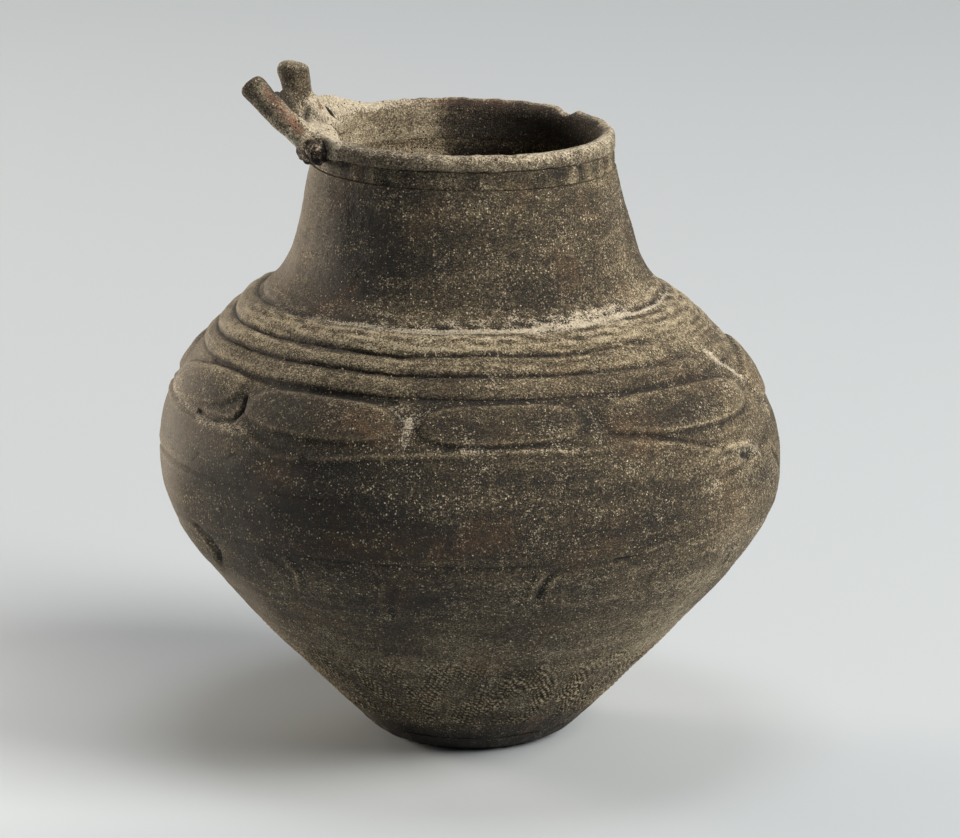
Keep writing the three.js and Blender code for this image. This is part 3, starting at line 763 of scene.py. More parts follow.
def ring_piece(name, radius, height, marks, clay, sharp_rows=()):
    """A closed ring: section points for each angle step, up the outside and down the inside."""
    turn = np.radians(angle_steps)[:, None]
    points = np.stack([radius * np.sin(turn), -radius * np.cos(turn), height], -1)
    columns, rows = radius.shape
    here = np.arange(columns)[:, None] * rows + np.arange(rows)[None, :]
    beside = np.roll(here, -1, axis=0)
    quads = np.stack([here, beside, np.roll(beside, -1, axis=1), np.roll(here, -1, axis=1)], -1)
    sharp = [np.arange(columns) * rows + row for row in sharp_rows]
    return mesh_piece(name, settle(points).reshape(-1, 3), quads.reshape(-1, 4), marks, clay, sharp)


def outside_of(low, high, rows):
    """Radius, height and marks of a course's worked outside, a column for each row."""
    step = (high - low) / rows
    spare = math.ceil(2 * crest_reach / step)
    heights = low + step * np.arange(-spare, rows + spare + 1)[None, :]
    relief = jar_relief(angle_steps[:, None], heights)
    crest = relief - box_mean(box_mean(relief, round(crest_reach / step), 1), 4, 0)
    kept = slice(spare, spare + rows + 1)
    radius, height = wall_at(heights[:, kept], relief[:, kept])
    marks = clay_marks(angle_steps[:, None], heights[:, kept], crest[:, kept])
    return radius, height, marks


def inside_shade(angle):
    """1 where the inside is painted dark as shade, at the back and right; 0 on its left, which is painted
    pale as lit.
    """
    return np.clip(4 * np.cos(np.radians(angle - 112)) - 0.5, 0, 1)


def inside_of(high, low, rows):
    """Radius, height and marks of a course's finger-smoothed inside, from its top down."""
    heights = np.linspace(high, low, rows + 1)[None, :] - bevel_drop
    finger = 0.5 * waves(angle_steps[:, None], heights, 38, 11)
    radius, height = wall_at(heights, -wall_thickness + finger)
    shaded_inside = inside_shade(angle_steps[:, None])
    marks = clay_marks(angle_steps[:, None], heights, -0.1 - 0.5 * shaded_inside + 0 * finger)
    # Painted shade darkens the inside at the back and right; painted light makes it pale and crusted high
    # on the left
    painted_light_inside = 0.8 * (1 - shaded_inside) * np.clip((heights - 210) / 20, 0, 1)
    marks["pale"] = np.clip(marks["pale"] + painted_light_inside - 0.35 * shaded_inside, 0, 1)
    marks["crust"] = np.clip(marks["crust"] + 0.5 * painted_light_inside * (1 + finger), 0, 1) * (1 - shaded_inside)
    marks["dirt_and_shade"] = np.clip(marks["dirt_and_shade"] + 0.3 * shaded_inside, 0, 1)
    marks["polish_and_sheen"] = 0 * finger
    return radius, height, marks


def joined(*parts):
    """Several runs of a section, one after the other, as one section."""
    radius = np.concatenate([part[0] for part in parts], 1)
    height = np.concatenate([part[1] for part in parts], 1)
    marks = {mark: np.concatenate([part[2][mark] for part in parts], 1) for mark in parts[0][2]}
    return radius, height, marks


def course_piece(name, low, high, outside_rows, inside_rows):
    """One coiled course with its two bevelled joints."""
    section = joined(outside_of(low, high, outside_rows), inside_of(high, low, inside_rows))
    rows = section[0].shape[1]
    sharp_rows = (0, outside_rows, outside_rows + 1, rows - 1)
    return ring_piece(name, *section, wall_clay, sharp_rows)


def corner_run(radii, heights):
    """A run of section points that is the same all round, such as a step or a seat."""
    radius = np.broadcast_to(np.array(radii, dtype=float), (turns, len(radii)))
    height = np.broadcast_to(np.array(heights, dtype=float), (turns, len(heights)))
    return radius, height, clay_marks(angle_steps[:, None], height, 0 * height)


# Foot disc
# A round pad of clay, 10 mm thick, pressed flat where the jar stands and rounded at the heel.
# Its underside rests on the ground and its top is the jar's floor.
floor_radius = 41.0
floor_thickness = 10.0
heel_bend = (foot_radius + 8.3, 1.1)
heel_rows = 26
floor_rows = 10

share = np.linspace(0, 1, heel_rows)[:, None]
heel_curve = (1 - share) ** 2 * np.array([foot_radius, 0.0]) + share ** 2 * np.array(heel)
heel_curve = heel_curve + 2 * share * (1 - share) * np.array(heel_bend)
under = np.stack([np.linspace(0.5, foot_radius, floor_rows), np.zeros(floor_rows)], -1)[:-1]
top = np.stack([np.linspace(floor_radius, 0.5, floor_rows), np.full(floor_rows, floor_thickness)], -1)
disc_section = np.concatenate([under, heel_curve, top])
disc_radius, disc_height, disc_marks = corner_run(disc_section[:, 0], disc_section[:, 1])
on_heel = np.zeros(len(disc_section))
on_heel[floor_rows:floor_rows + heel_rows - 2] = 1
disc_radius = disc_radius + on_heel * (0.3 * waves(angle_steps[:, None], disc_height, 16, 31) - 0.3)
foot_disc = ring_piece("foot_disc_clay", disc_radius, disc_height, disc_marks, wall_clay)
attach(foot_disc, "root")
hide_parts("foot_disc")


# Foot course
# The first coil, luted on the rim of the disc instead of on a bevel, and cord-marked.
foot_joint = 38
foot_outside_rows = 74
foot_inside_rows = 8

foot_outside = outside_of(heel_height, foot_joint, foot_outside_rows)
foot_inside = inside_of(foot_joint, heel_height, foot_inside_rows)
foot_inside[0][:, -1] = floor_radius
foot_inside[1][:, -1] = floor_thickness
foot_section = joined(foot_outside, foot_inside)
foot_last_row = foot_outside_rows + foot_inside_rows + 1
foot_sharp_rows = (0, foot_outside_rows, foot_outside_rows + 1, foot_last_row)
foot_course = ring_piece("foot_course_clay", *foot_section, wall_clay, foot_sharp_rows)
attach(foot_course, "root")
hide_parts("foot_course")


# Lower wall course
# The second coil of the flaring wall. The cord marks run up on it and stop below its joint.
lower_joint = 72
lower_wall = course_piece("lower_wall_clay", foot_joint, lower_joint, outside_rows=82, inside_rows=8)
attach(lower_wall, "root")
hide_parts("lower_wall_course")


# Upper wall course
# The third coil, with the faint row of pads below its top joint, which shows as a line.
upper_joint = 110
upper_wall = course_piece("upper_wall_clay", lower_joint, upper_joint, outside_rows=84, inside_rows=8)
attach(upper_wall, "root")
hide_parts("upper_wall_course")


# Belly courses
# The two coils under and over the widest part, wiped level by hand.
belly_joint = 135
belly_top_joint = 160
belly_wall = course_piece("belly_clay", upper_joint, belly_joint, outside_rows=60, inside_rows=8)
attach(belly_wall, "root")
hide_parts("belly_course")
belly_top = course_piece("belly_top_clay", belly_joint, belly_top_joint, outside_rows=60, inside_rows=8)
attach(belly_top, "root")
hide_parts("belly_top_course")


# Panel course
# The coil that was pressed into the bold row of pads. It sinks under the lowest rib.
panels = course_piece("panel_clay", belly_top_joint, rib_foot, outside_rows=80, inside_rows=6)
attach(panels, "root")
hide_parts("panel_course")


# Ribbed course
# The shoulder coil, whose joints with its neighbours lie hidden in its outer grooves.
ribbed = course_piece("ribbed_clay", rib_foot, neck_foot_height, outside_rows=90, inside_rows=6)
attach(ribbed, "root")
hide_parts("ribbed_course")


# Neck courses
# Two coils wiped upright and smooth. The upper one is stepped in at its top for the collar.
neck_joint = 233
rim_outside_rows = 70
rim_inside_rows = 20
rim_inside_top = 259
collar_height = 8.0
collar_thickness = 2.0
collar_groove = 1.3
lip_overhang = 1.0
step_radius = neck_top_radius - lip_overhang - collar_thickness
step_top = neck_top_height + collar_height
lip_width = 7.8
lip_inner_radius = neck_top_radius - lip_width

lower_neck = course_piece("neck_clay", neck_foot_height, neck_joint, outside_rows=72, inside_rows=8)
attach(lower_neck, "root")
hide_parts("neck_course")

neck_step = corner_run(
    [step_radius, step_radius, lip_inner_radius],
    [neck_top_height, step_top - collar_groove, step_top - collar_groove - bevel_drop])
neck_inside = inside_of(rim_inside_top, neck_joint, rim_inside_rows)
near_lip = np.clip((neck_inside[1] - 244) / 10, 0, 1) ** 2
neck_inside = (neck_inside[0] + near_lip * (lip_inner_radius - neck_inside[0]), *neck_inside[1:])
neck_outside = outside_of(neck_joint, neck_top_height, rim_outside_rows)
upper_neck_section = joined(neck_outside, neck_step, neck_inside)
step_rows = tuple(rim_outside_rows + row for row in range(4))
rim_sharp_rows = (0, *step_rows, rim_outside_rows + 4 + rim_inside_rows)
upper_neck = ring_piece("neck_rim_clay", *upper_neck_section, wall_clay, rim_sharp_rows)
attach(upper_neck, "root")
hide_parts("neck_rim_course")


# Collar strip
# A flat strip of clay pressed into the step under the lip, thumbed uneven along its face.
collar_points = 44
around_strip = np.radians(np.linspace(-90, 270, collar_points, endpoint=False))[None, :]
strip_cosine = np.cos(around_strip)
strip_sine = np.sin(around_strip)
strip_round = 0.32
collar_middle = step_radius + 0.3 + collar_thickness / 2
collar_run = np.sign(strip_cosine) * np.abs(strip_cosine) ** strip_round
collar_radius = collar_middle + collar_thickness / 2 * collar_run
collar_rise = collar_height / 2 * np.sign(strip_sine) * np.abs(strip_sine) ** strip_round
collar_z = neck_top_height + 0.05 + collar_height / 2 + 0.98 * collar_rise
thumbing = 0.24 * waves(angle_steps[:, None], collar_z, 18, 51)
thumbing += 0.08 * waves(angle_steps[:, None], collar_z, 5, 52)
on_face = np.clip(strip_cosine, 0, 1)
thumbing = on_face * (thumbing - 0.25)
collar_marks = clay_marks(angle_steps[:, None], collar_z + 0 * thumbing, 0.9 * thumbing)
collar_marks["pale"] = np.clip(collar_marks["pale"] + 0.1, 0, 1)
collar_shape = (collar_radius + thumbing, collar_z + 0 * thumbing, collar_marks)
collar = ring_piece("collar_clay", *collar_shape, wall_clay)
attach(collar, "root")
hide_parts("collar_strip")


# Lip coil
# The everted lip, seated on the neck's bevel and over the collar. Its edge stands higher at the
# back, flares up to the lug, is chipped at the back right and smeared thick beside the stub.
lip_height = 9.0
lip_bevel = 1.8
lip_inner_drop = 2.6
lip_chip = {"depth": 2.6, "angle": 133, "span": 7}
lip_smear = {"depth": 2.4, "angle": -44, "span": 30}
lip_flare = {"depth": 8.4, "angle": -103, "span": 42}
lip_points_per_edge = 9
lip_softenings = 10
seat_feather = 1.4
lug_middle_angle = -86
lug_half_span = 32
sunk_under_lug = 2.6

# The same clay where lime has settled thickest: chalky and pale, and dry to the eye
rim_roughness = 0.85
rim_tones = ("#2a2219", "#625746", "#94886f", "#cbbfa6", "#8a5843")
rim_clay = smoked_clay("lime_crusted_earthenware", *rim_tones, rim_roughness)


def hump(mark):
    """A smooth hump round one direction, 1 at its middle and 0 from its span on."""
    share = np.clip(np.abs(around(angle_steps, mark["angle"])) / mark["span"], 0, 1)
    return mark["depth"] * (1 - share ** 2) ** 2


front = np.cos(np.radians(angle_steps))
nibbled = 0.3 * waves(angle_steps, 0 * angle_steps, 20, 61)
nibbled += 0.1 * waves(angle_steps, 0 * angle_steps, 7, 62)
lip_top = step_top + lip_height
lip_inner_edge = lip_top - lip_inner_drop
edge_top = lip_top - lip_bevel * front - hump(lip_chip) + hump(lip_flare) + nibbled - 0.4
smeared = neck_top_radius + hump(lip_smear)
level = np.ones(turns)
seat_top = step_top - collar_groove
seat_low = seat_top - (bevel_drop - 0.1)

# Radius and height of the section's corners, from the seat's feathered foot round to the inner edge
lip_corners = [
    (lip_inner_radius * level - 0.16, (seat_low - seat_feather) * level),
    (lip_inner_radius * level - 0.03, (seat_low - seat_feather) * level),
    (lip_inner_radius * level - 0.03, seat_low * level),
    (step_radius * level, seat_top * level),
    (step_radius * level, step_top * level),
    (smeared - lip_overhang, step_top * level),
    (smeared, step_top + lip_overhang * level),
    (smeared, edge_top - 2.4),
    (smeared - 1.8, edge_top - 0.2),
    (neck_top_radius - 0.6 * lip_width, 0.6 * edge_top + 0.4 * lip_top - 0.6),
    (lip_inner_radius * level, lip_inner_edge * level),
]
corners = np.array([np.stack([r * level, z * level], -1) for r, z in lip_corners]).transpose(1, 0, 2)
blend_share = np.linspace(0, 1, lip_points_per_edge, endpoint=False)[None, None, :, None]
lip_section = corners[:, :, None] * (1 - blend_share) + np.roll(corners, -1, 1)[:, :, None] * blend_share
lip_section = lip_section.reshape(turns, -1, 2)
sharp_section = lip_section
for _ in range(lip_softenings):
    lip_section = (np.roll(lip_section, 1, 1) + 2 * lip_section + np.roll(lip_section, -1, 1)) / 4
on_seat = sharp_section[..., 1:] < step_top - 0.5
lip_section = np.where(on_seat, sharp_section, lip_section)
lip_run = np.roll(lip_section, -1, 1) - np.roll(lip_section, 1, 1)
lip_out = np.stack([lip_run[..., 1], -lip_run[..., 0]], -1)
lip_out /= np.linalg.norm(lip_out, axis=-1, keepdims=True)
lip_radius = lip_section[..., 0]
lip_z = lip_section[..., 1]
lip_girth = lip_z + lip_radius
lip_relief = 0.13 * waves(angle_steps[:, None], 1.5 * lip_girth, 16, 63)
lip_relief += 0.035 * waves(angle_steps[:, None], 2.2 * lip_girth, 5, 64, 30) - 0.12
from_lug = np.abs(around(angle_steps[:, None], lug_middle_angle))
under_lug = np.clip((lug_half_span - from_lug) / 5, 0, 1)
lip_relief -= sunk_under_lug * under_lug
over_step = np.clip((lip_z - step_top + 1.5) / 1.5, 0, 1)
past_collar = np.clip(lip_radius - neck_top_radius + 0.5, 0, 1)
lip_relief *= np.clip(over_step + past_collar, 0, 1)
lip_shape = lip_section + lip_out * lip_relief[..., None]
lip_tone_height = 262 + 0 * lip_z
lip_marks = clay_marks(angle_steps[:, None], lip_tone_height, 0.8 * lip_relief * (1 - under_lug))
facing_up = np.clip(lip_out[..., 1], 0, 1)
back_left = bell(around(angle_steps, -118), 34)[:, None]
front_edge = bell(around(angle_steps, -15), 75)[:, None]
right_front = np.clip(np.sin(np.radians(angle_steps + 25)), 0, 1)[:, None]
limed_face = facing_up * (0.4 + 1.3 * back_left + 0.1 * front_edge)
limed_face = limed_face + 0.3 * right_front * (lip_out[..., 0] > 0)
lip_marks["crust"] = np.clip(limed_face + 0.5 * lip_relief, 0, 1)
# Painted shade darkens the lip's inner face at the back and right, without lime
shaded_lip_face = inside_shade(angle_steps)[:, None] * np.clip(-2 * lip_out[..., 0] - 0.6, 0, 1)
lip_marks["pale"] = np.clip(lip_marks["pale"] + 0.12 * facing_up - 0.8 * shaded_lip_face, 0, 1)
lip_marks["crust"] = lip_marks["crust"] * (1 - shaded_lip_face)
lip_marks["dirt_and_shade"] = 0.35 * shaded_lip_face
back_edge = 0.5 * bell(around(angle_steps, 175), 30)[:, None]
lip_marks["warm"] = back_edge * facing_up
lip_marks["polish_and_sheen"] = 0 * lip_relief
seat_rows = tuple(lip_points_per_edge * corner for corner in range(5))
lip = ring_piece("lip_clay", lip_shape[..., 0], lip_shape[..., 1], lip_marks, rim_clay, seat_rows)
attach(lip, "root")
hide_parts("lip_coil")


# Rim lug
# Two finger-thick prongs of clay rolled and luted on the lip, with the clay between them thumbed
# down into a trough. The rolls melt into each other and into the lip: the skin is drawn where the
# blended distance to them all is nothing.
lug_grid_step = 0.6
lug_fillet = 3.4

# Balls along each roll: degrees, reach from the lip's face, rise over its foot and radius
front_prong = [(-70, -3, 6.4, 6.4), (-69, 6.6, 7.4, 5.9), (-72, 14.4, 14.4, 5.7), (-79.3, 24.2, 26.2, 6.0)]
back_prong = [(-104, -2.6, 3.5, 8.2), (-101, 2.6, 9.5, 7.2), (-98.5, 5.2, 19, 6.3), (-97, 6.9, 30.3, 7.2)]
web_ribs = [
    [(-76, -2, 4, 4.6), (-75, 9.5, 9.6, 3.8), (-78.5, 20, 22, 2.8)],
    [(-81, -2, 4, 4.6), (-79, 9, 9.4, 3.2), (-82.5, 16, 20.6, 2.3)],
    [(-86, -2, 4.5, 4.6), (-83.5, 8.2, 9.4, 3.0), (-86.5, 13.4, 20.6, 2.3)],
    [(-91, -2, 4.5, 5), (-88.5, 7, 10.4, 3.6), (-90.5, 9.9, 20.4, 2.8)],
    [(-96, -2, 5, 5.5), (-94, 5.4, 11, 4.2), (-94.5, 7.4, 22, 3.4)],
]
lip_foot = step_top + 0.4
front_end_reach = 3.4
back_end_rise = 3.6
back_end_slope = 0.12
back_prong_x = -74
weld_half_span = 34
weld_end = 41

# A pit in the lip beside the web, painted dark as shade; the rusty trough; painted shade in a hollow of
# the web; and a scorched spot
lip_pit = {"place": (-57.3, 17.2, 278.9), "radius": 3.7}
red_line = [(-75, 20.4, 27.4, 0), (-69.1, 14.4, 18.3, 0), (-65.7, 9.1, 11.2, 0)]
shaded_hollow = {"place": (-78, -5, 288), "reach": (5, 6, 8)}
scorched_spot = {"place": (-62.9, 11, 282.5), "reach": 3.2}


def rim_point(angle, reach, rise):
    """A point by its angle round the rim, its reach from the lip's face and its rise over its foot."""
    turn = math.radians(angle)
    radius = neck_top_radius + reach
    return np.array([radius * math.sin(turn), -radius * math.cos(turn), lip_foot + rise])


def roll_distance(points, chain):
    """Distance to a roll of clay: balls joined along a chain, each with its own radius."""
    nearest = np.full(points.shape[:-1], 1e3)
    for start, end in zip(chain[:-1], chain[1:]):
        first = rim_point(*start[:3])
        step = rim_point(*end[:3]) - first
        along = np.clip(((points - first) @ step) / (step @ step), 0, 1)
        radius = start[3] + (end[3] - start[3]) * along
        gap = np.linalg.norm(points - first - along[..., None] * step, axis=-1) - radius
        nearest = np.minimum(nearest, gap)
    return nearest


def melt(first, second, fillet):
    """The distance to two forms joined by a fillet."""
    share = np.clip(0.5 + 0.5 * (second - first) / fillet, 0, 1)
    return second + (first - second) * share - fillet * share * (1 - share)


def lip_distance(points):
    """Distance to the lip where the lug is luted on it; past the lug it sinks below the lip's skin."""
    angle = np.degrees(np.arctan2(points[..., 0], -points[..., 1]))
    radius = np.hypot(points[..., 0], points[..., 1])
    edge = np.interp(angle, angle_steps, edge_top, period=360)
    outer = np.interp(angle, angle_steps, smeared, period=360)
    share = np.clip((radius - lip_inner_radius) / (outer - 1.8 - lip_inner_radius), 0, 1)
    over_top = (points[..., 2] - lip_inner_edge * (1 - share) - edge * share) * 0.85
    over_side = np.maximum(radius - outer, lip_inner_radius - radius)
    section = -melt(-over_top, -over_side, 3)
    section = np.maximum(section, step_top - points[..., 2])
    past = np.abs(around(angle, lug_middle_angle))
    sunk = np.clip((past - weld_half_span) / 9, 0, 1)
    return section + 1.6 * sunk - 0.35 * (1 - sunk) + 6.5 * np.clip((past - weld_end) / 7, 0, 1)


def lug_distance(points):
    """Distance to the whole lug: prongs, trough and weld."""
    front = roll_distance(points, front_prong)
    back = roll_distance(points, back_prong)
    front_end = rim_point(*front_prong[-1][:3])
    front_way = front_end - rim_point(*front_prong[-2][:3])
    front_cut = (points - front_end) @ (front_way / np.linalg.norm(front_way)) - front_end_reach
    back_end = lip_foot + back_prong[-1][2] + back_end_rise
    back_cut = points[..., 2] - back_end + back_end_slope * (points[..., 0] - back_prong_x)
    front = -melt(-front, -front_cut, 2.2)
    back = -melt(-back, -back_cut, 2.4)
    web = roll_distance(points, web_ribs[0])
    for rib in web_ribs[1:]:
        web = melt(web, roll_distance(points, rib), 3.5)
    body = melt(melt(front, web, lug_fillet), back, lug_fillet)
    body = melt(body, lip_distance(points), 4)
    pit_gap = np.linalg.norm(points - np.array(lip_pit["place"]), axis=-1) - lip_pit["radius"]
    return -melt(-body, pit_gap, 1)


def solid_waves(points, length, seed, count=26):
    """Smooth unevenness through space, of a wave length in mm, about -1 to 1."""
    draw = np.random.default_rng(seed)
    total = np.zeros(points.shape[:-1])
    for _ in range(count):
        heading = draw.normal(size=3)
        heading *= 2 * math.pi / (np.linalg.norm(heading) * length * draw.uniform(0.7, 1.5))
        total += np.cos(points @ heading + draw.uniform(0, 2 * math.pi))
    return total / math.sqrt(count)


def slope_of(distance, points):
    """The outward direction of a distance field."""
    slope = np.empty_like(points)
    for axis in range(3):
        nudge = np.zeros(3)
        nudge[axis] = 0.05
        slope[:, axis] = distance(points + nudge) - distance(points - nudge)
    return slope / np.maximum(1e-9, np.linalg.norm(slope, axis=1, keepdims=True))


def skin_of(distance, low, high, step):
    """Points and quads of the skin where a distance is nothing, one point in each crossed cell."""
    axes = [np.arange(low[axis], high[axis] + step, step) for axis in range(3)]
    grid = np.stack(np.meshgrid(*axes, indexing="ij"), -1)
    inside = distance(grid) < 0
    corners = [inside[i:len(axes[0]) - 1 + i, j:len(axes[1]) - 1 + j, k:len(axes[2]) - 1 + k]
               for i in (0, 1) for j in (0, 1) for k in (0, 1)]
    count = np.sum(corners, axis=0)
    crossed = (count > 0) & (count < 8)
    index = np.full(crossed.shape, -1)
    index[crossed] = np.arange(crossed.sum())
    points = grid[:-1, :-1, :-1][crossed] + step / 2
    quads = []
    for axis in range(3):
        solid = np.moveaxis(inside, axis, 0)
        cells = np.moveaxis(index, axis, 0)
        leaving = solid[:-1, 1:-1, 1:-1] & ~solid[1:, 1:-1, 1:-1]
        entering = ~solid[:-1, 1:-1, 1:-1] & solid[1:, 1:-1, 1:-1]
        around_edge = [cells[:, :-1, :-1], cells[:, 1:, :-1], cells[:, 1:, 1:], cells[:, :-1, 1:]]
        forward = leaving if axis != 1 else entering
        backward = entering if axis != 1 else leaving
        quads.append(np.stack([cell[forward] for cell in around_edge], -1))
        quads.append(np.stack([cell[backward] for cell in around_edge[::-1]], -1))
    for _ in range(4):
        points = points - slope_of(distance, points) * distance(points)[:, None]
    return points, np.concatenate(quads)


def lug_marks(points, out, rough):
    """The clay's marks on the lug: painted shade below and in its hollow, crusted above, rusty down the
    trough.
    """
    side = points[:, 1]
    up = np.clip(out[:, 2], -1, 1)
    high = points[:, 2]
    trough = bell(roll_distance(points, red_line), 1.4 + 0.09 * np.clip(297 - high, 0, 16))
    # Painted shade in the hollow of the web
    from_hollow = (points - np.array(shaded_hollow["place"])) / shaded_hollow["reach"]
    hollow_shade = bell(np.linalg.norm(from_hollow, axis=1), 1)
    back_ridge = bell(side - 10, 6) * bell(high - 281, 12)
    on_lip = np.clip((points[:, 0] + 74) / 6, 0, 1)
    # Painted light on the foot of the front arm, which faces down and away from the key lamp
    lit_arm_foot = bell(high - 275, 9) * np.clip((-side - 8) / 5, 0, 1)
    # The pit is painted dark as shade
    pit_gap = np.linalg.norm(points - np.array(lip_pit["place"]), axis=1) - lip_pit["radius"]
    pit_near = np.clip(1.2 - pit_gap, 0, 1)
    from_spot = np.linalg.norm(points - np.array(scorched_spot["place"]), axis=1)
    brown = bell(from_spot, scorched_spot["reach"])
    tips = np.clip((high - 287) / 6, 0, 1)
    # Tops are painted a little paler and undersides darker, as painted light and shade
    pale = 0.36 + 0.1 * up + 0.15 * (side > 6) - 0.45 * hollow_shade
    pale = pale + 0.6 * rough + 0.3 * lit_arm_foot - 0.1 * tips
    crust = 0.12 + 0.2 * np.clip(up, 0, 1) + 0.65 * back_ridge + 0.4 * rough + 0.5 * lit_arm_foot
    crust = crust + 0.5 * (side > 12) * np.clip(up + 0.4, 0, 1) + 0.5 * on_lip * np.clip(up, 0, 1)
    crust = crust - 0.8 * brown - 0.7 * trough - 0.6 * hollow_shade - 0.2 * tips * (side < 10)
    warm = 1.3 * trough + 1.1 * brown
    # Undersides are darkened with painted shade, less at the foot of the arm, which is painted lit
    dirt_and_shade = np.clip(-0.6 * up - 0.15 - 0.4 * lit_arm_foot, 0, 0.5)
    dirt_and_shade = dirt_and_shade + pit_near + 0.6 * hollow_shade * (1 - trough)
    marks = {"pale": pale, "crust": crust, "dirt_and_shade": dirt_and_shade, "warm": warm, "polish_and_sheen": 0 * up}
    return {name: np.clip(values, 0, 1) for name, values in marks.items()}


lug_box = ((-101, -58, 262), (-34, 50, 309))
lug_points, lug_quads = skin_of(lug_distance, *lug_box, lug_grid_step)
lug_out = slope_of(lug_distance, lug_points)
lug_rough = 0.2 * solid_waves(lug_points, 10, 73) + 0.05 * solid_waves(lug_points, 3.2, 74) - 0.15
lug_clay_marks = lug_marks(lug_points, lug_out, lug_rough)
lug_skin = settle(lug_points + lug_out * lug_rough[:, None])
lug = mesh_piece("rim_lug_clay", lug_skin, lug_quads, lug_clay_marks, rim_clay)
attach(lug, "root")
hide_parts("lug_front_prong", "lug_back_prong", "lug_web")


# Broken stub
# The root of a third roll on the front of the weld, snapped off short.
stub_lumps = [(-61.3, 4.4, 1.0, 4.9), (-65, 5.4, 0.9, 5.2), (-69.2, 6.4, 1.2, 4.9)]
stub_root = [(-62, -3, 2.2, 5.0), (-65, 4.5, 1.0, 5.0)]
stub_grid_step = 0.5
stub_box = ((-80, -52, 258), (-44, -16, 282))

# Bare core of the clay: darker than the skin, without lime, and rough and crumbly to the eye
broken_roughness = 0.92
broken_tones = ("#0d0906", "#2c2117", "#5d4836", "#c0ad90", "#6b4631")
broken_clay = smoked_clay("broken_earthenware_core", *broken_tones, broken_roughness)


def stub_distance(points):
    """Distance to the broken root, cut ragged across its end."""
    root = melt(roll_distance(points, stub_lumps), roll_distance(points, stub_root), 2)
    face = rim_point(-65, 9.4, 1)
    out = rim_point(-65, 8, 0) - rim_point(-65, 0, 1)
    ragged = 0.35 * solid_waves(points, 5, 71) + 0.1 * solid_waves(points, 2.8, 72)
    cut = (points - face) @ (out / np.linalg.norm(out))
    return 0.8 * (-melt(-root, -cut, 2.5) + ragged * np.clip((cut + 9) / 4, 0, 1))


stub_points, stub_quads = skin_of(stub_distance, *stub_box, stub_grid_step)
stub_out = slope_of(stub_distance, stub_points)
stub_marks = lug_marks(stub_points, stub_out, 0.1 * solid_waves(stub_points, 3, 75))
stub_grit = solid_waves(stub_points, 2.6, 76)
stub_marks["crust"] = np.clip(0.22 + 0.2 * stub_grit, 0, 1)
stub_marks["pale"] = np.clip(0.34 + 0.15 * stub_grit, 0, 1)
right_end = np.clip((stub_points[:, 0] + 64.0) / 3, 0, 1)
stub_marks["dirt_and_shade"] = np.clip(stub_marks["dirt_and_shade"] - 0.25 * stub_grit + 0.5 * right_end, 0, 0.9)
stub = mesh_piece("broken_stub_clay", settle(stub_points), stub_quads, stub_marks, broken_clay)
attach(stub, "root")
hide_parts("lug_broken_stub")


# Temper grains
# Crushed rock kneaded into the clay, standing out where the wall is worn: thousands of angular
# grains, scattered over the outside by a node tree, few on the polished flank and at the heel.
grain_cover = 52000.0
grain_seed = 11
grain_sink = 0.12 * mm
shell_turns = 300
shell_rows = 220
shell_foot = 17
shell_top = 259
full_turn = (6.28, 6.28, 6.28)

# Radii of real grains, 0.4 to 1 mm across, of which most are small
grain_least = 0.2 * mm
grain_most = 0.52 * mm
grain_smallness = 2.2

# Crushed granite: dull and dry to the eye, each grain its own shade from brown and pink to cream
rock_shade_size = 2.4 * mm
rock_roughness = 0.6
temper_rock = bpy.data.materials.new("crushed_rock_temper")
temper_rock.use_nodes = True
rock_tree = temper_rock.node_tree
rock_place = add_node(rock_tree, "ShaderNodeTexCoord").outputs["Object"]
rock_cells = add_node(rock_tree, "ShaderNodeTexVoronoi", {
    "Vector": rock_place, "Scale": 1 / rock_shade_size})
rock_pick = add_node(rock_tree, "ShaderNodeSeparateColor", {0: rock_cells.outputs["Color"]})
rock_tone = add_node(rock_tree, "ShaderNodeValToRGB", {"Fac": rock_pick.outputs[0]})
rock_tone.color_ramp.elements[0].color = linear_colour("#6e5d45")
rock_tone.color_ramp.elements[1].color = linear_colour("#b98468")
rock_tone.color_ramp.elements.new(0.6).color = linear_colour("#a8977a")
rock_tone.color_ramp.elements.new(0.9).color = linear_colour("#ddd2ba")
rock_shader = rock_tree.nodes["Principled BSDF"]
rock_tree.links.new(rock_tone.outputs["Color"], rock_shader.inputs["Base Color"])
rock_shader.inputs["Roughness"].default_value = rock_roughness

shell_angles = np.arange(shell_turns)[:, None] * 360.0 / shell_turns
shell_heights = np.linspace(shell_foot, shell_top, shell_rows)[None, :]
shell_relief = jar_relief(shell_angles, shell_heights)
shell_radius, shell_z = wall_at(shell_heights + 0 * shell_relief, shell_relief)
shell_turn = np.radians(shell_angles)
shell_x = shell_radius * np.sin(shell_turn)
shell_y = -shell_radius * np.cos(shell_turn)
shell_points = settle(np.stack([shell_x, shell_y, shell_z], -1)).reshape(-1, 3)
here = np.arange(shell_turns)[:, None] * shell_rows + np.arange(shell_rows)[None, :]
beside = np.roll(here, -1, axis=0)
shell_quads = np.stack([here[:, :-1], beside[:, :-1], beside[:, 1:], here[:, 1:]], -1).reshape(-1, 4)

shell_side = around(shell_angles, 0)
more_right = np.clip(shell_side / 60, 0, 1)
polished_left = np.clip((-shell_side - 45) / 30, 0, 1)
over_heel = np.clip((shell_heights - shell_foot) / 8, 0.1, 1)
showing = 0.55 + 0.5 * waves(shell_angles, shell_heights, 34, 81)
showing = showing + 0.35 * more_right - 0.8 * polished_left
showing = np.clip(showing, 0.06, 1.2) * over_heel
shell = mesh_piece("grain_shell", shell_points, shell_quads, {"showing": showing}, wall_clay)

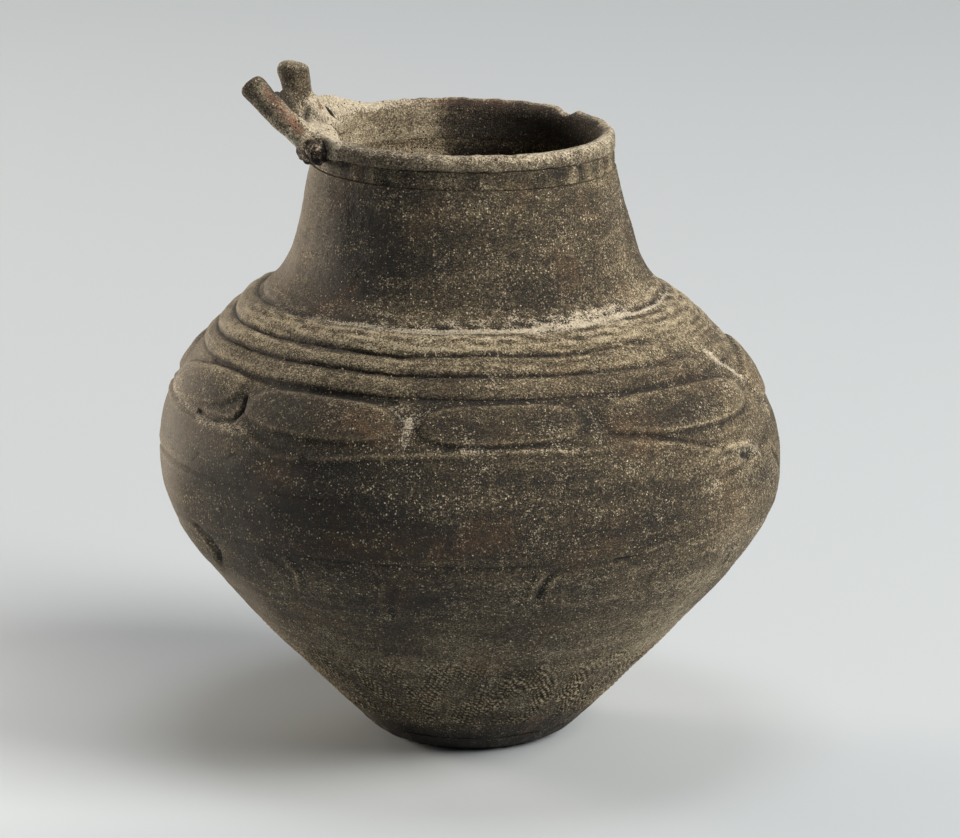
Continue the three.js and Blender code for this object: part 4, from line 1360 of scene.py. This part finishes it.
scatter = bpy.data.node_groups.new("temper_scatter", "GeometryNodeTree")
socket_kinds = {
    "Wall": "Geometry", "Cover": "Float", "Least radius": "Float", "Most radius": "Float",
    "Sink": "Float", "Seed": "Int", "Rock": "Material",
}
for socket_name, kind in socket_kinds.items():
    scatter.interface.new_socket(socket_name, in_out="INPUT", socket_type="NodeSocket" + kind)
scatter.interface.new_socket("Grains", in_out="OUTPUT", socket_type="NodeSocketGeometry")
given = add_node(scatter, "NodeGroupInput").outputs
shown_share = add_node(scatter, "GeometryNodeInputNamedAttribute", {"Name": "showing"}, data_type="FLOAT")
cover = add_node(scatter, "ShaderNodeMath", {0: shown_share, 1: given["Cover"]}, operation="MULTIPLY")
spots = add_node(scatter, "GeometryNodeDistributePointsOnFaces", {
    "Mesh": given["Wall"], "Density": cover, "Seed": given["Seed"]})
under_skin = add_node(scatter, "ShaderNodeMath", {0: given["Sink"], 1: -1.0}, operation="MULTIPLY")
sunk_by = add_node(scatter, "ShaderNodeVectorMath", {
    0: spots.outputs["Normal"], "Scale": under_skin}, operation="SCALE")
seats = add_node(scatter, "GeometryNodeSetPosition", {
    "Geometry": spots.outputs["Points"], "Offset": sunk_by})
draw_size = add_node(scatter, "FunctionNodeRandomValue", {"Seed": given["Seed"]}, data_type="FLOAT")
mostly_small = add_node(scatter, "ShaderNodeMath", {0: draw_size, 1: grain_smallness}, operation="POWER")
grain_radius = add_node(scatter, "ShaderNodeMapRange", {
    "Value": mostly_small, "To Min": given["Least radius"], "To Max": given["Most radius"]})
lopsided = add_node(scatter, "FunctionNodeRandomValue", {
    "Min": (0.7, 0.7, 0.6), "Max": (1.2, 1.1, 0.9), "Seed": given["Seed"]}, data_type="FLOAT_VECTOR")
grain_scale = add_node(scatter, "ShaderNodeVectorMath", {
    0: lopsided, "Scale": grain_radius}, operation="SCALE")
turned = add_node(scatter, "FunctionNodeRandomValue", {
    "Max": full_turn, "Seed": given["Seed"]}, data_type="FLOAT_VECTOR")
grain_form = add_node(scatter, "GeometryNodeMeshIcoSphere", {"Radius": 1.0, "Subdivisions": 1})
grains = add_node(scatter, "GeometryNodeInstanceOnPoints", {
    "Points": seats, "Instance": grain_form, "Rotation": turned, "Scale": grain_scale})
grains = add_node(scatter, "GeometryNodeRealizeInstances", {"Geometry": grains})
grains = add_node(scatter, "GeometryNodeSetMaterial", {"Geometry": grains, "Material": given["Rock"]})
add_node(scatter, "NodeGroupOutput", {"Grains": grains})

scatter_inputs = {
    "Cover": grain_cover, "Least radius": grain_least, "Most radius": grain_most,
    "Sink": grain_sink, "Seed": grain_seed, "Rock": temper_rock,
}
scattering = shell.modifiers.new("temper_scatter", "NODES")
scattering.node_group = scatter
for item in scatter.interface.items_tree:
    if item.in_out == "INPUT" and item.name in scatter_inputs:
        scattering[item.identifier] = scatter_inputs[item.name]
shell.update_tag()
scattered = shell.evaluated_get(bpy.context.evaluated_depsgraph_get())
grain_mesh = bpy.data.meshes.new_from_object(scattered)
shell.modifiers.remove(scattering)
bpy.data.objects.remove(shell)
temper = bpy.data.objects.new("temper_grains", grain_mesh)
scene.collection.objects.link(temper)
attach(temper, "root")
